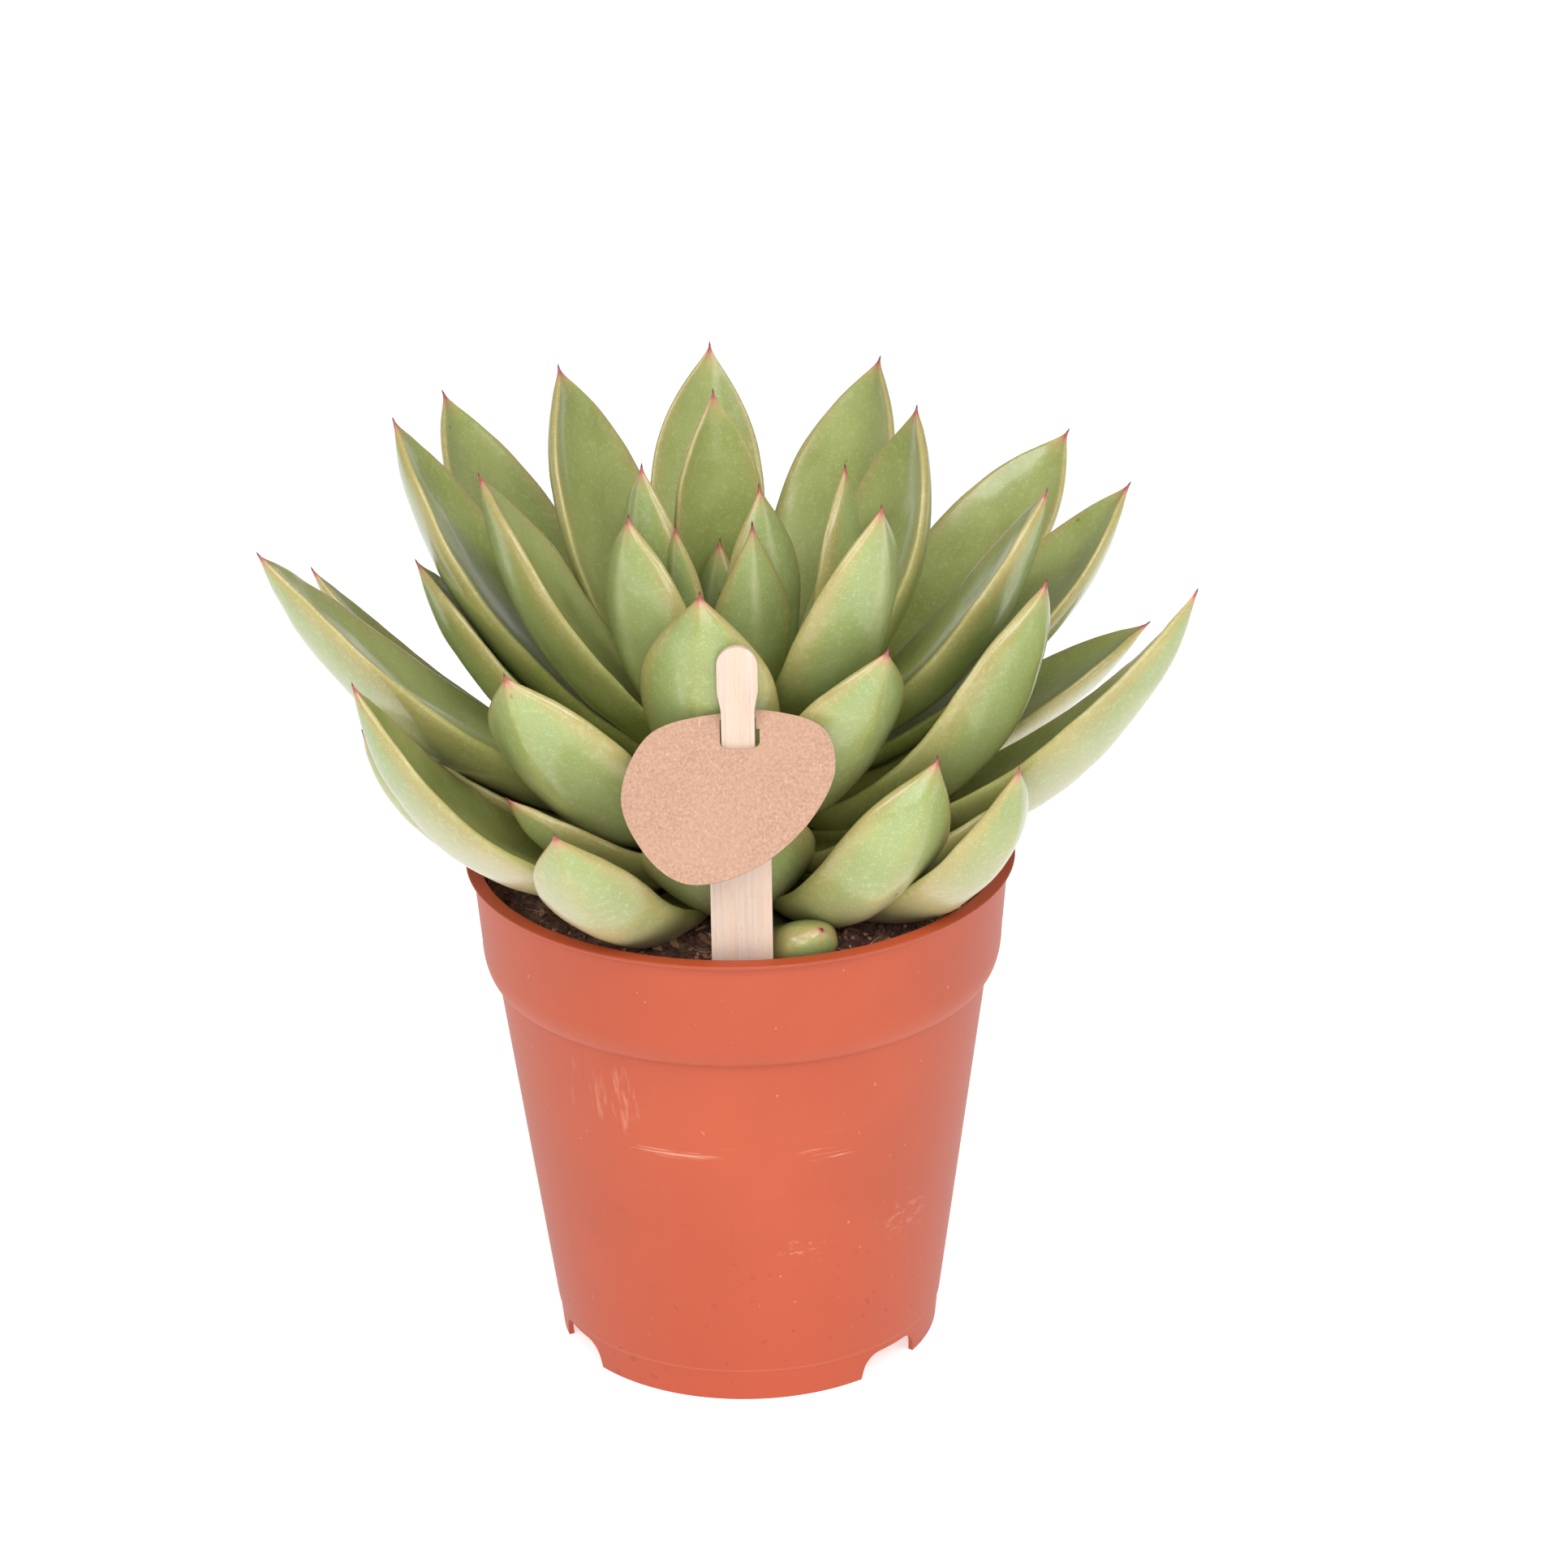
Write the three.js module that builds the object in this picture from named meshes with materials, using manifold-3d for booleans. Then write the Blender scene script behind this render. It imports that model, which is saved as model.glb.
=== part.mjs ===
// A potted miranda echeveria: a rosette of thick, pointed leaves on a short stem, planted in a
// round nursery pot of peat, with a wooden stick that carries a card tag and one tiny seedling.
// Millimetres, +Z up. The origin is the centre of the pot's foot, on the ground, and -Y is the front.

import * as THREE from "three";
import { mergeVertices } from "three/addons/utils/BufferGeometryUtils.js";
import Module from "manifold-3d";

const wasm = await Module();
wasm.setup();

// Driving dimensions

const GAP = 0.3; // left between pieces that touch

const FOOT_RADIUS = 42.2;
const FOOT_HEIGHT = 7.5; // up to the fine ledge round the foot
const BODY_TOP = 87.8; // the groove under the collar
const BODY_TOP_RADIUS = 54.25;
const COLLAR_BOTTOM = 96; // above the round shoulder of the collar
const COLLAR_BOTTOM_RADIUS = 57.4;
const COLLAR_TOP = 113.1;
const COLLAR_TOP_RADIUS = 58.9;
const LIP_RADIUS = 60.4;
const LIP_OUTER_TOP = 114.1;
const LIP_INNER_RADIUS = 57.2;
const POT_HEIGHT = 114.3;
const WALL = 1.3;
const EDGE = 0.3; // how far the pot's sharp edges are cut back
const FLOOR_BOTTOM = 6.8;
const FLOOR_TOP = 8.6;
const POT_SIDES = 44;
const SHOULDER_STEPS = 4;
const NOTCH_WIDTH = 18; // drainage notches in the foot
const NOTCH_HEIGHT = 5.8;
const NOTCH_SLANT = 1.4;
const NOTCH_CORNER = 3.4;
const NOTCH_DEPTH = 12;
const NOTCH_ANGLES = [-63, 48, 172]; // degrees round from the front, towards +X
const DRAIN_RADIUS = 4;
const DRAIN_CIRCLE = 27;
const DRAINS = 6;
const DRAIN_SIDES = 12;

const SOIL_TOP = 107.4;
const SOIL_LUMP = 1.1; // the highest lump stands this far above the mean surface
const SOIL_RINGS = 8;
const SOIL_SIDES = 36;

const STEM_RADIUS = 8;
const STEM_TOP_RADIUS = 3;
const STEM_BOTTOM = 92;
const STEM_SHOULDER = 104; // the stem tapers from here up
const STEM_TOP = 144;
const STEM_ROUNDING = 2; // how its two ends are cut back
const STEM_SIDES = 24;

const LEAF_SIDES = 8;
const LEAF_SECTIONS = 8;
const LEAF_DEPTH = 0.283; // thickness as a share of the width, at the thickest
const LEAF_CUP = 0.24; // how far the margins rise, as a share of the half width
const LEAF_CROWN = 0.2; // how far the upper face swells, as a share of the thickness
const LEAF_BELLY = 0.72; // how far the lower face does
const ROUND_SECTION = [0, 0.5, 0.5]; // the same three for a leaf that is round across
const LEAF_WIDEST = 0.62; // where along the leaf
const ROOT_WIDTH = 0.3; // the leaf's width at its root, as a share of its greatest
const ROOT_DEPTH = 0.4; // its thickness there
const ROOT_OFFSET = 0.4; // the root stands this far off the stem
const ROOT_SWELL = 1.4; // how the width grows from the root on
const TIP_WIDTH_FALL = 2.4; // how it falls towards the tip: the higher, the blunter
const DEPTH_SWELL = 1.2;
const TIP_DEPTH_FALL = 2;
const RIM_DROP = 0.8; // how steeply the section closes at its margins
const ROUND_DROP = 0.5; // and in a leaf of round section
const KEEL_AT_ROOT = 1.9; // the lower a keel is, the sharper
const KEEL_AT_TIP = 1.3;
const ROUND_KEEL = 2;
const TIP_CROWDING = 1.45; // how much closer the sections stand towards the tip
const LOWEST_ROOT = 111;
const HIGHEST_ROOT = 142;
const LEAVES_ON_SOIL = 7; // the lowest ones, which press into the soil

const STICK_THICKNESS = 1.6;
const STICK_FRONT = -54.2;
const STICK_MIDDLE = 0.4;
const STICK_BOTTOM = 92.6;
const STICK_TOP = 184.2;
const POINT_WIDTH = 4; // the pushed-in end
const POINT_HEIGHT = 6;
const BLADE_WIDTH = 13;
const BLADE_TOP = 151;
const NECK_WIDTH = 7;
const NECK_BOTTOM = 159;
const NECK_TOP = 169;
const HEAD_WIDTH = 8.6;
const HEAD_BOTTOM = 175;

// The card's outline across and up its own face, from where it crosses the stick.
const CARD_THICKNESS = 0.8;
const CARD_TILT = 28; // degrees back from upright
const CARD_CROSSING = 164.4; // the height at which it passes through the stick
const CARD_RIM_POINTS = 44;
const CARD_TOP_EDGE = [[-24.2, -13.4], [-18.2, 0.1], [-3, 4.4], [8, 4.6], [18.4, 0.7], [20.5, -7.7]];
const CARD_LOWER_EDGE = [[15.6, -17.8], [6.5, -26.3], [-3.9, -30.8], [-11.8, -30.9], [-18.7, -25.7]];
const SLIT_PLAY = 0.2; // left below the neck
const SLIT_CORNER = 1.6;
const SLIT_SMOOTHNESS = 4;
const SLOT_RIGHT = 4.9; // the slit's right side stands off the neck
const SLOT_TOP = 1;

// Each leaf as it stands in the rosette, from the lowest to the innermost. tip is where its point
// is, wide its greatest width, bend the degrees that it curves up from root to tip, bow how far its
// middle stands off sideways, twist how far its face turns round, and blunt a rounder end, or a more
// slender one below 0. The first one is a small old leaf that is round across.
const LEAVES = [
  { tip: [17.4, -50.5, 118.2], wide: 15, bend: 84, bow: -4.3, blunt: 6, plump: 2.5, isRound: true },
  { tip: [-38, -72, 151], wide: 25, bend: 79, twist: -20 },
  { tip: [-80, -27, 156], wide: 27, bend: 76, bow: -4, twist: -14 },
  { tip: [10, 68, 146], wide: 28, bend: 42 },
  { tip: [59, -55, 157], wide: 26, bend: 96, bow: 3, twist: -5 },
  { tip: [-5, -48, 147], wide: 38, bend: 87, bow: 2, twist: -16 },
  { tip: [42, -51, 158], wide: 26, bend: 108, bow: -8, twist: 26 },
  { tip: [62, 50, 147], wide: 29, bend: 40 },
  { tip: [57, -44, 145], wide: 27, bend: 68 },
  { tip: [-80, -47, 175], wide: 33, bend: 80, bow: 6, twist: 20 },
  { tip: [-93, 20, 175], wide: 27, bend: 54, twist: -20 },
  { tip: [91, 17, 160], wide: 27, bend: 24, twist: 7 },
  { tip: [-57, 63, 148], wide: 30, bend: 44 },
  { tip: [42, -46, 144], wide: 23, bend: 54, twist: 5 },
  { tip: [-49, -44, 147], wide: 26, bend: 56, bow: 3 },
  { tip: [97.5, -32, 187], wide: 36, bend: 66, bow: -1.5, twist: 4, blunt: -0.7 },
  { tip: [-70, -15, 148], wide: 26, bend: 52 },
  { tip: [-100.5, -25, 196], wide: 37, bend: 44 },
  { tip: [63, 62, 162], wide: 30, bend: 42, bow: -4 },
  { tip: [-20, 74, 165], wide: 30, bend: 40 },
  { tip: [-48, -53, 179], wide: 34, bend: 64, bow: 2, twist: -15 },
  { tip: [32, -50, 182], wide: 29, bend: 50, bow: -3 },
  { tip: [39, 73, 170], wide: 31, bend: 40 },
  { tip: [66, -25, 187], wide: 36, bend: 79, bow: -6, twist: 12 },
  { tip: [-69, 3, 183], wide: 32, bend: 40, bow: 3, twist: -9 },
  { tip: [86, 11, 195], wide: 31, bend: 37, bow: -3, twist: -7 },
  { tip: [-61, 67, 180], wide: 31, bend: 40, bow: 1 },
  { tip: [75, 56, 191], wide: 30, bend: 32, twist: -12 },
  { tip: [-65, 58, 202], wide: 30, bend: 34, bow: 4, twist: -8 },
  { tip: [-73, 10, 213], wide: 33, bend: 40, bow: 4 },
  { tip: [-5, 53, 214], wide: 26, bend: 35, bow: 3, twist: -10 },
  { tip: [33, 59, 208], wide: 31, bend: 14, bow: -1, twist: 22 },
  { tip: [9, 66, 162], wide: 27, bend: 36 },
  { tip: [-38, 34, 216], wide: 33, bend: 30, bow: 2, twist: -16 },
  { tip: [67, -8, 201], wide: 32, bend: 47, bow: -2 },
  { tip: [-7, -49, 195], wide: 30, bend: 80, twist: 8 },
  { tip: [-54, -9, 207], wide: 35, bend: 32, bow: 6, twist: 9 },
  { tip: [40, 18, 211], wide: 33, bend: 38, bow: -5 },
  { tip: [-4, 8, 219], wide: 22, bend: 5, bow: 1, twist: -5 },
  { tip: [31, -40, 210], wide: 30, bend: 52, bow: -1, twist: -15 },
  { tip: [-22, -22, 202], wide: 28, bend: 54, bow: 1, twist: 8 },
  { tip: [24, 4, 202.8], wide: 25, bend: 36, bow: -1, twist: 22 },
  { tip: [-19.3, -7, 207.8], wide: 19.5, bend: 34, twist: -26 },
  { tip: [5.5, -8, 203.2], wide: 20, bend: 36, blunt: -0.6 },
  { tip: [4, -17, 198], wide: 17.5, bend: 40, blunt: -1 },
  { tip: [-12.3, -13, 196.2], wide: 11.5, bend: 34, twist: -12 },
  { tip: [8.9, -8, 191.8], wide: 15, bend: 36, blunt: -0.4 },
  { tip: [-3, -3, 189], wide: 14, bend: 18 },
];

// The folded heart of young leaves, from the outermost in.
const HEART_LEAVES = 5;
const HEART_REACH = 5;
const HEART_HEIGHT = 180;
const HEART_WIDTH = 11;
const HEART_STEP = 7; // each one is this much shorter than the last
const HEART_HEADING = 97; // degrees round from +X, of the first
const HEART_ROOT = 5; // below the stem's top
const HEART_BEND = 14;
const GOLDEN_ANGLE = 137.5;

const SEEDLING_FOOT = [42.2, -27, 105];
const SEEDLING_TOP = [46.6, -29, 113.6];
const SEEDLING_STEM_RADIUS = 0.4;
const SEED_LEAF = [1.1, 0.9, 0.45]; // its half length, half width and half thickness
const SEED_LEAF_TILT = 25;
const SPROUT_STEPS = 8; // along the stem
const SPROUT_SMOOTHNESS = 6; // round it

// Materials

const paint = (color, roughness) => new THREE.MeshStandardMaterial({ color, roughness, metalness: 0 });
const terracotta = paint(0xd9674c, 0.45);
const peat = paint(0x241a15, 0.95);
const leafGreen = paint(0x90ad72, 0.5);
const stemGreen = paint(0x9aa66c, 0.6);
const sproutGreen = paint(0xa5c83f, 0.5);
const birch = paint(0xe3c9a4, 0.7);
const kraft = paint(0xc99a7c, 0.85);

// Solids

// A geometry as a solid that can be joined and cut.
function solid(geometry) {
  const plain = geometry.index ? geometry.toNonIndexed() : geometry.clone();
  const bare = new THREE.BufferGeometry().setAttribute("position", plain.getAttribute("position"));
  const merged = mergeVertices(bare, 1e-4);
  const mesh = new wasm.Mesh({
    numProp: 3,
    vertProperties: new Float32Array(merged.attributes.position.array),
    triVerts: new Uint32Array(merged.index.array),
  });
  return new wasm.Manifold(mesh);
}

// A solid as a named mesh. Scraps that a cut leaves loose are dropped.
function piece(name, made, material) {
  const bodies = made.decompose().sort((a, b) => b.volume() - a.volume());
  const mesh = bodies[0].getMesh();
  const geometry = new THREE.BufferGeometry();
  geometry.setAttribute("position", new THREE.BufferAttribute(new Float32Array(mesh.vertProperties), 3));
  geometry.setIndex(new THREE.BufferAttribute(new Uint32Array(mesh.triVerts), 1));
  geometry.computeVertexNormals();
  const result = new THREE.Mesh(geometry, material);
  result.name = name;
  return result;
}

// A profile of radius and height turned round the vertical axis.
function turned(profile, sides) {
  const points = profile.map(([radius, height]) => new THREE.Vector2(radius, height));
  return solid(new THREE.LatheGeometry(points, sides).rotateX(Math.PI / 2));
}

// A front-view shape (x across, y up) made thick from front, the Y that faces the viewer, backwards.
function upright(shape, thickness, front, curveSegments = 12) {
  const geometry = new THREE.ExtrudeGeometry(shape, { depth: thickness, bevelEnabled: false, curveSegments });
  return solid(geometry.rotateX(Math.PI / 2).translate(0, front + thickness, 0));
}

const radians = THREE.MathUtils.degToRad;

// Pot

// The round shoulder between the groove and the collar, moved inwards by inset.
function shoulder(inset) {
  const points = [];
  for (let i = 0; i <= SHOULDER_STEPS; i += 1) {
    const turn = (Math.PI / 2) * (i / SHOULDER_STEPS);
    const out = (COLLAR_BOTTOM_RADIUS - BODY_TOP_RADIUS) * Math.sin(turn);
    points.push([BODY_TOP_RADIUS + out - inset, COLLAR_BOTTOM - (COLLAR_BOTTOM - BODY_TOP) * Math.cos(turn)]);
  }
  return points;
}

// The body's outer radius at a height under the groove.
function bodyRadius(height) {
  return THREE.MathUtils.lerp(FOOT_RADIUS, BODY_TOP_RADIUS, height / BODY_TOP);
}

// The pot's inner wall from the floor's edge to just under the lip, moved inwards by inset.
function innerWall(inset) {
  const bottom = [bodyRadius(FLOOR_TOP) - WALL - inset, FLOOR_TOP + inset];
  return [bottom, ...shoulder(WALL + inset), [LIP_INNER_RADIUS - EDGE - inset, COLLAR_TOP]];
}

function makePot() {
  const outside = [
    [bodyRadius(0) - WALL, 0],
    [bodyRadius(0), 0],
    [bodyRadius(FOOT_HEIGHT) - EDGE, FOOT_HEIGHT - EDGE],
    [bodyRadius(FOOT_HEIGHT), FOOT_HEIGHT],
    ...shoulder(0),
    [COLLAR_TOP_RADIUS, COLLAR_TOP],
    [LIP_RADIUS - EDGE, COLLAR_TOP + EDGE / 2],
    [LIP_RADIUS, COLLAR_TOP + EDGE * 2],
    [LIP_RADIUS, LIP_OUTER_TOP - EDGE],
    [LIP_RADIUS - EDGE, LIP_OUTER_TOP],
    [LIP_INNER_RADIUS + EDGE, POT_HEIGHT],
    [LIP_INNER_RADIUS, POT_HEIGHT - EDGE],
  ];
  const underFloor = [[0, FLOOR_BOTTOM], [bodyRadius(FLOOR_BOTTOM) - WALL, FLOOR_BOTTOM]];
  const profile = [...underFloor, ...outside, ...innerWall(0).reverse(), [0, FLOOR_TOP]];
  let pot = turned(profile, POT_SIDES);

  const half = NOTCH_WIDTH / 2;
  const side = half - NOTCH_SLANT;
  const arch = new THREE.Shape();
  arch.moveTo(-half, -1);
  arch.lineTo(-side, NOTCH_HEIGHT - NOTCH_CORNER);
  arch.quadraticCurveTo(-side, NOTCH_HEIGHT, -side + NOTCH_CORNER, NOTCH_HEIGHT);
  arch.lineTo(side - NOTCH_CORNER, NOTCH_HEIGHT);
  arch.quadraticCurveTo(side, NOTCH_HEIGHT, side, NOTCH_HEIGHT - NOTCH_CORNER);
  arch.lineTo(half, -1);
  for (const angle of NOTCH_ANGLES) {
    const options = { depth: NOTCH_DEPTH, bevelEnabled: false, curveSegments: 3 };
    const cutter = new THREE.ExtrudeGeometry(arch, options);
    cutter.rotateX(Math.PI / 2).translate(0, NOTCH_DEPTH / 2 - FOOT_RADIUS, 0).rotateZ(radians(angle));
    pot = pot.subtract(solid(cutter));
  }
  const drill = 3 * (FLOOR_TOP - FLOOR_BOTTOM);
  for (let i = 0; i < DRAINS; i += 1) {
    const hole = new THREE.CylinderGeometry(DRAIN_RADIUS, DRAIN_RADIUS, drill, DRAIN_SIDES);
    hole.rotateX(Math.PI / 2).translate(DRAIN_CIRCLE, 0, (FLOOR_BOTTOM + FLOOR_TOP) / 2);
    hole.rotateZ((2 * Math.PI * (i + 0.5)) / DRAINS);
    pot = pot.subtract(solid(hole));
  }
  return pot;
}

// Stem and leaves

// The stem's radius where a leaf is rooted.
function stemRadius(height) {
  const up = THREE.MathUtils.clamp((height - STEM_SHOULDER) / (STEM_TOP - STEM_SHOULDER), 0, 1);
  return THREE.MathUtils.lerp(STEM_RADIUS, STEM_TOP_RADIUS, up);
}

function stemCore(spare) {
  const profile = [
    [0, STEM_BOTTOM - spare],
    [STEM_RADIUS - STEM_ROUNDING + spare, STEM_BOTTOM - spare],
    [STEM_RADIUS + spare, STEM_BOTTOM + 2 * STEM_ROUNDING],
    [STEM_RADIUS + spare, STEM_SHOULDER],
    [STEM_TOP_RADIUS + spare, STEM_TOP],
    [STEM_TOP_RADIUS / 2 + spare, STEM_TOP + STEM_ROUNDING],
    [0, STEM_TOP + 1.3 * STEM_ROUNDING + spare],
  ];
  return turned(profile, STEM_SIDES);
}

// Half the leaf's width at t, from 0 at the root to 1 at the tip, as a share of its greatest.
function widthShare(t, blunt) {
  const swell = Math.sin((Math.PI / 2) * Math.min(t / LEAF_WIDEST, 1)) ** ROOT_SWELL;
  if (t < LEAF_WIDEST) return ROOT_WIDTH + (1 - ROOT_WIDTH) * swell;
  return 1 - ((t - LEAF_WIDEST) / (1 - LEAF_WIDEST)) ** (TIP_WIDTH_FALL + blunt);
}

// The leaf's thickness at t, as a share of its greatest.
function depthShare(t, blunt) {
  if (t < 0.5) return ROOT_DEPTH + (1 - ROOT_DEPTH) * Math.sin(Math.PI * t) ** DEPTH_SWELL;
  return (1 - (2 * t - 1) ** (TIP_DEPTH_FALL + blunt)) ** RIM_DROP;
}

// The leaf as a solid: a cone whose rings are laid along an arc from the root to the tip and shaped
// into boat-like sections, hollowed above and keeled below, or into round ones. spare makes it
// fatter all round.
function leafSolid(leaf, root, spare = 0) {
  const { tip, wide, bend, bow = 0, twist = 0, blunt = 0, plump = 1, isRound = false } = leaf;
  const start = root.radius + ROOT_OFFSET;
  const reach = Math.hypot(tip[0], tip[1]) - start;
  const rise = tip[2] - root.height;
  const chord = Math.hypot(reach, rise);
  const curve = radians(bend);
  const length = (chord * (curve / 2)) / Math.sin(curve / 2);
  const firstSlope = Math.atan2(rise, reach) - curve / 2;
  const heading = Math.atan2(tip[1], tip[0]);
  const outward = new THREE.Vector3(Math.cos(heading), Math.sin(heading), 0);
  const sideways = new THREE.Vector3(-Math.sin(heading), Math.cos(heading), 0);
  const upward = new THREE.Vector3(0, 0, 1);
  const [cupping, crown, belly] = isRound ? ROUND_SECTION : [LEAF_CUP, LEAF_CROWN, LEAF_BELLY];

  const geometry = new THREE.ConeGeometry(1, 1, LEAF_SIDES, LEAF_SECTIONS);
  const vertices = geometry.attributes.position;
  for (let i = 0; i < vertices.count; i += 1) {
    const up = vertices.getY(i) + 0.5;
    const ring = Math.max(1 - up, 1e-6);
    const across = vertices.getX(i) / ring;
    const isUpper = vertices.getZ(i) > 0;
    const isMiddle = Math.hypot(vertices.getX(i), vertices.getZ(i)) < 1e-6;
    const t = 1 - ring ** TIP_CROWDING;

    const slope = firstSlope + curve * t;
    const radius = length / curve;
    const out = start + radius * (Math.sin(slope) - Math.sin(firstSlope));
    const high = root.height - radius * (Math.cos(slope) - Math.cos(firstSlope));
    const along = outward.clone().multiplyScalar(Math.cos(slope)).addScaledVector(upward, Math.sin(slope));
    along.addScaledVector(sideways, (4 * bow * (1 - 2 * t)) / length).normalize();
    const inward = outward.clone().multiplyScalar(-Math.sin(slope)).addScaledVector(upward, Math.cos(slope));
    const right = along.clone().cross(inward).normalize();
    inward.copy(right).cross(along);
    right.applyAxisAngle(along, -radians(twist) * t);
    inward.applyAxisAngle(along, -radians(twist) * t);

    const half = (wide / 2) * widthShare(t, blunt);
    const depth = LEAF_DEPTH * wide * plump * depthShare(t, blunt);
    const margin = Math.min(Math.abs(across), 1);
    const keel = isRound ? ROUND_KEEL : THREE.MathUtils.lerp(KEEL_AT_ROOT, KEEL_AT_TIP, t);
    const cup = cupping * (half + spare) * margin ** 2;
    const extra = margin > 0.99 ? 0 : spare;
    const upper = cup + crown * depth * (1 - margin ** 2) ** (isRound ? ROUND_DROP : 1) + extra;
    const lower = cup - belly * depth * (1 - margin ** keel) ** (isRound ? ROUND_DROP : RIM_DROP) - extra;
    const isTip = ring < 1e-5;
    const place = new THREE.Vector3().addScaledVector(outward, out).addScaledVector(upward, high);
    place.addScaledVector(sideways, 4 * bow * t * (1 - t));
    if (isTip) {
      place.addScaledVector(along, 2 * spare);
    } else if (isMiddle) {
      place.addScaledVector(inward, (upper + lower) / 2);
    } else {
      place.addScaledVector(right, across * (half + spare));
      place.addScaledVector(inward, isUpper ? upper : lower);
    }
    if (t === 0) place.addScaledVector(along, -spare);
    vertices.setXYZ(i, place.x, place.y, place.z);
  }
  return solid(geometry);
}

// The height and radius on the stem that each leaf grows from, lowest first.
function leafRoot(index) {
  const height = THREE.MathUtils.lerp(LOWEST_ROOT, HIGHEST_ROOT, index / (LEAVES.length - 1));
  return { height, radius: stemRadius(height) };
}

// The stem with its heart of young leaves, which stand round each other at the golden angle.
function stemAndHeart(spare) {
  let made = stemCore(spare);
  for (let i = 0; i < HEART_LEAVES; i += 1) {
    const size = 1 - i / (HEART_LEAVES + 1);
    const heading = radians(HEART_HEADING + GOLDEN_ANGLE * i);
    const reach = HEART_REACH * size;
    const young = {
      tip: [reach * Math.cos(heading), reach * Math.sin(heading), HEART_HEIGHT - HEART_STEP * i],
      wide: (HEART_WIDTH * (1 + size)) / 2,
      bend: HEART_BEND,
    };
    made = made.add(leafSolid(young, { height: STEM_TOP - HEART_ROOT, radius: ROOT_OFFSET }, spare));
  }
  return made;
}

// Stick and card tag

function makeStick(spare) {
  const point = POINT_WIDTH / 2 + spare;
  const blade = BLADE_WIDTH / 2 + spare;
  const neck = NECK_WIDTH / 2 + spare;
  const head = HEAD_WIDTH / 2 + spare;
  const belowNeck = (BLADE_TOP + NECK_BOTTOM) / 2;
  const aboveNeck = (NECK_TOP + HEAD_BOTTOM) / 2;
  const headMiddle = STICK_TOP - HEAD_WIDTH / 2;
  const shape = new THREE.Shape();
  shape.moveTo(-point, STICK_BOTTOM - spare);
  shape.lineTo(point, STICK_BOTTOM - spare);
  shape.lineTo(blade, STICK_BOTTOM + POINT_HEIGHT);
  shape.lineTo(blade, BLADE_TOP);
  shape.bezierCurveTo(blade, belowNeck, neck, belowNeck, neck, NECK_BOTTOM);
  shape.lineTo(neck, NECK_TOP);
  shape.bezierCurveTo(neck, aboveNeck, head, aboveNeck, head, HEAD_BOTTOM);
  shape.lineTo(head, headMiddle);
  shape.absarc(0, headMiddle, head, 0, Math.PI, false);
  shape.lineTo(-head, HEAD_BOTTOM);
  shape.bezierCurveTo(-head, aboveNeck, -neck, aboveNeck, -neck, NECK_TOP);
  shape.lineTo(-neck, NECK_BOTTOM);
  shape.bezierCurveTo(-neck, belowNeck, -blade, belowNeck, -blade, BLADE_TOP);
  shape.lineTo(-blade, STICK_BOTTOM + POINT_HEIGHT);
  const made = upright(shape, STICK_THICKNESS + 2 * spare, STICK_FRONT - spare, 6);
  return made.translate([STICK_MIDDLE, 0, 0]);
}

// The card is a flat one that leans back, with a slit that the stick's neck passes through.
function makeCard() {
  const corners = [...CARD_TOP_EDGE, ...CARD_LOWER_EDGE].map(([x, z]) => new THREE.Vector3(x, z, 0));
  const curve = new THREE.CatmullRomCurve3(corners, true, "centripetal");
  const rim = curve.getPoints(CARD_RIM_POINTS).slice(0, -1);
  const outline = new THREE.Shape(rim.map((point) => new THREE.Vector2(point.x, point.y)));

  const tilt = radians(CARD_TILT);
  const middle = STICK_THICKNESS / 2 + (CARD_THICKNESS / 2) * Math.cos(tilt);
  const reach = (middle + GAP) / Math.sin(tilt);
  const left = STICK_MIDDLE - NECK_WIDTH / 2 - GAP;
  const right = STICK_MIDDLE + NECK_WIDTH / 2 + GAP;
  const bottom = -reach - SLIT_PLAY;
  const slit = new THREE.Shape();
  slit.moveTo(left, reach);
  slit.lineTo(left, bottom + SLIT_CORNER);
  slit.quadraticCurveTo(left, bottom, STICK_MIDDLE, bottom);
  slit.quadraticCurveTo(SLOT_RIGHT, bottom, SLOT_RIGHT, bottom + SLIT_CORNER);
  slit.lineTo(SLOT_RIGHT, SLOT_TOP);
  slit.lineTo(right, SLOT_TOP);
  slit.lineTo(right, reach);

  const body = upright(outline, CARD_THICKNESS, -CARD_THICKNESS / 2);
  const cutter = upright(slit, 3 * CARD_THICKNESS, -1.5 * CARD_THICKNESS, SLIT_SMOOTHNESS);
  const leaning = body.subtract(cutter).rotate([-CARD_TILT, 0, 0]);
  return leaning.translate([0, STICK_FRONT + STICK_THICKNESS / 2, CARD_CROSSING]);
}

// Seedling

function makeSeedling(spare) {
  const foot = new THREE.Vector3(...SEEDLING_FOOT);
  const top = new THREE.Vector3(...SEEDLING_TOP);
  const bulge = new THREE.Vector3(foot.x, foot.y, top.z);
  const path = new THREE.QuadraticBezierCurve3(foot, bulge, top);
  const section = new THREE.Shape().absarc(0, 0, SEEDLING_STEM_RADIUS + spare, 0, 2 * Math.PI, false);
  const stalk = new THREE.ExtrudeGeometry(section, {
    steps: SPROUT_STEPS,
    curveSegments: SPROUT_SMOOTHNESS,
    extrudePath: path,
  });
  let made = solid(stalk);
  for (const side of [-1, 1]) {
    const size = SEED_LEAF.map((half) => half + spare);
    const blade = new THREE.SphereGeometry(1, 10, 6).scale(...size).rotateY(radians(side * SEED_LEAF_TILT));
    blade.translate(top.x + (side * size[2]) / 2, top.y, top.z - side * SEED_LEAF[1]);
    made = made.add(solid(blade));
  }
  return made;
}

// Soil

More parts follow.
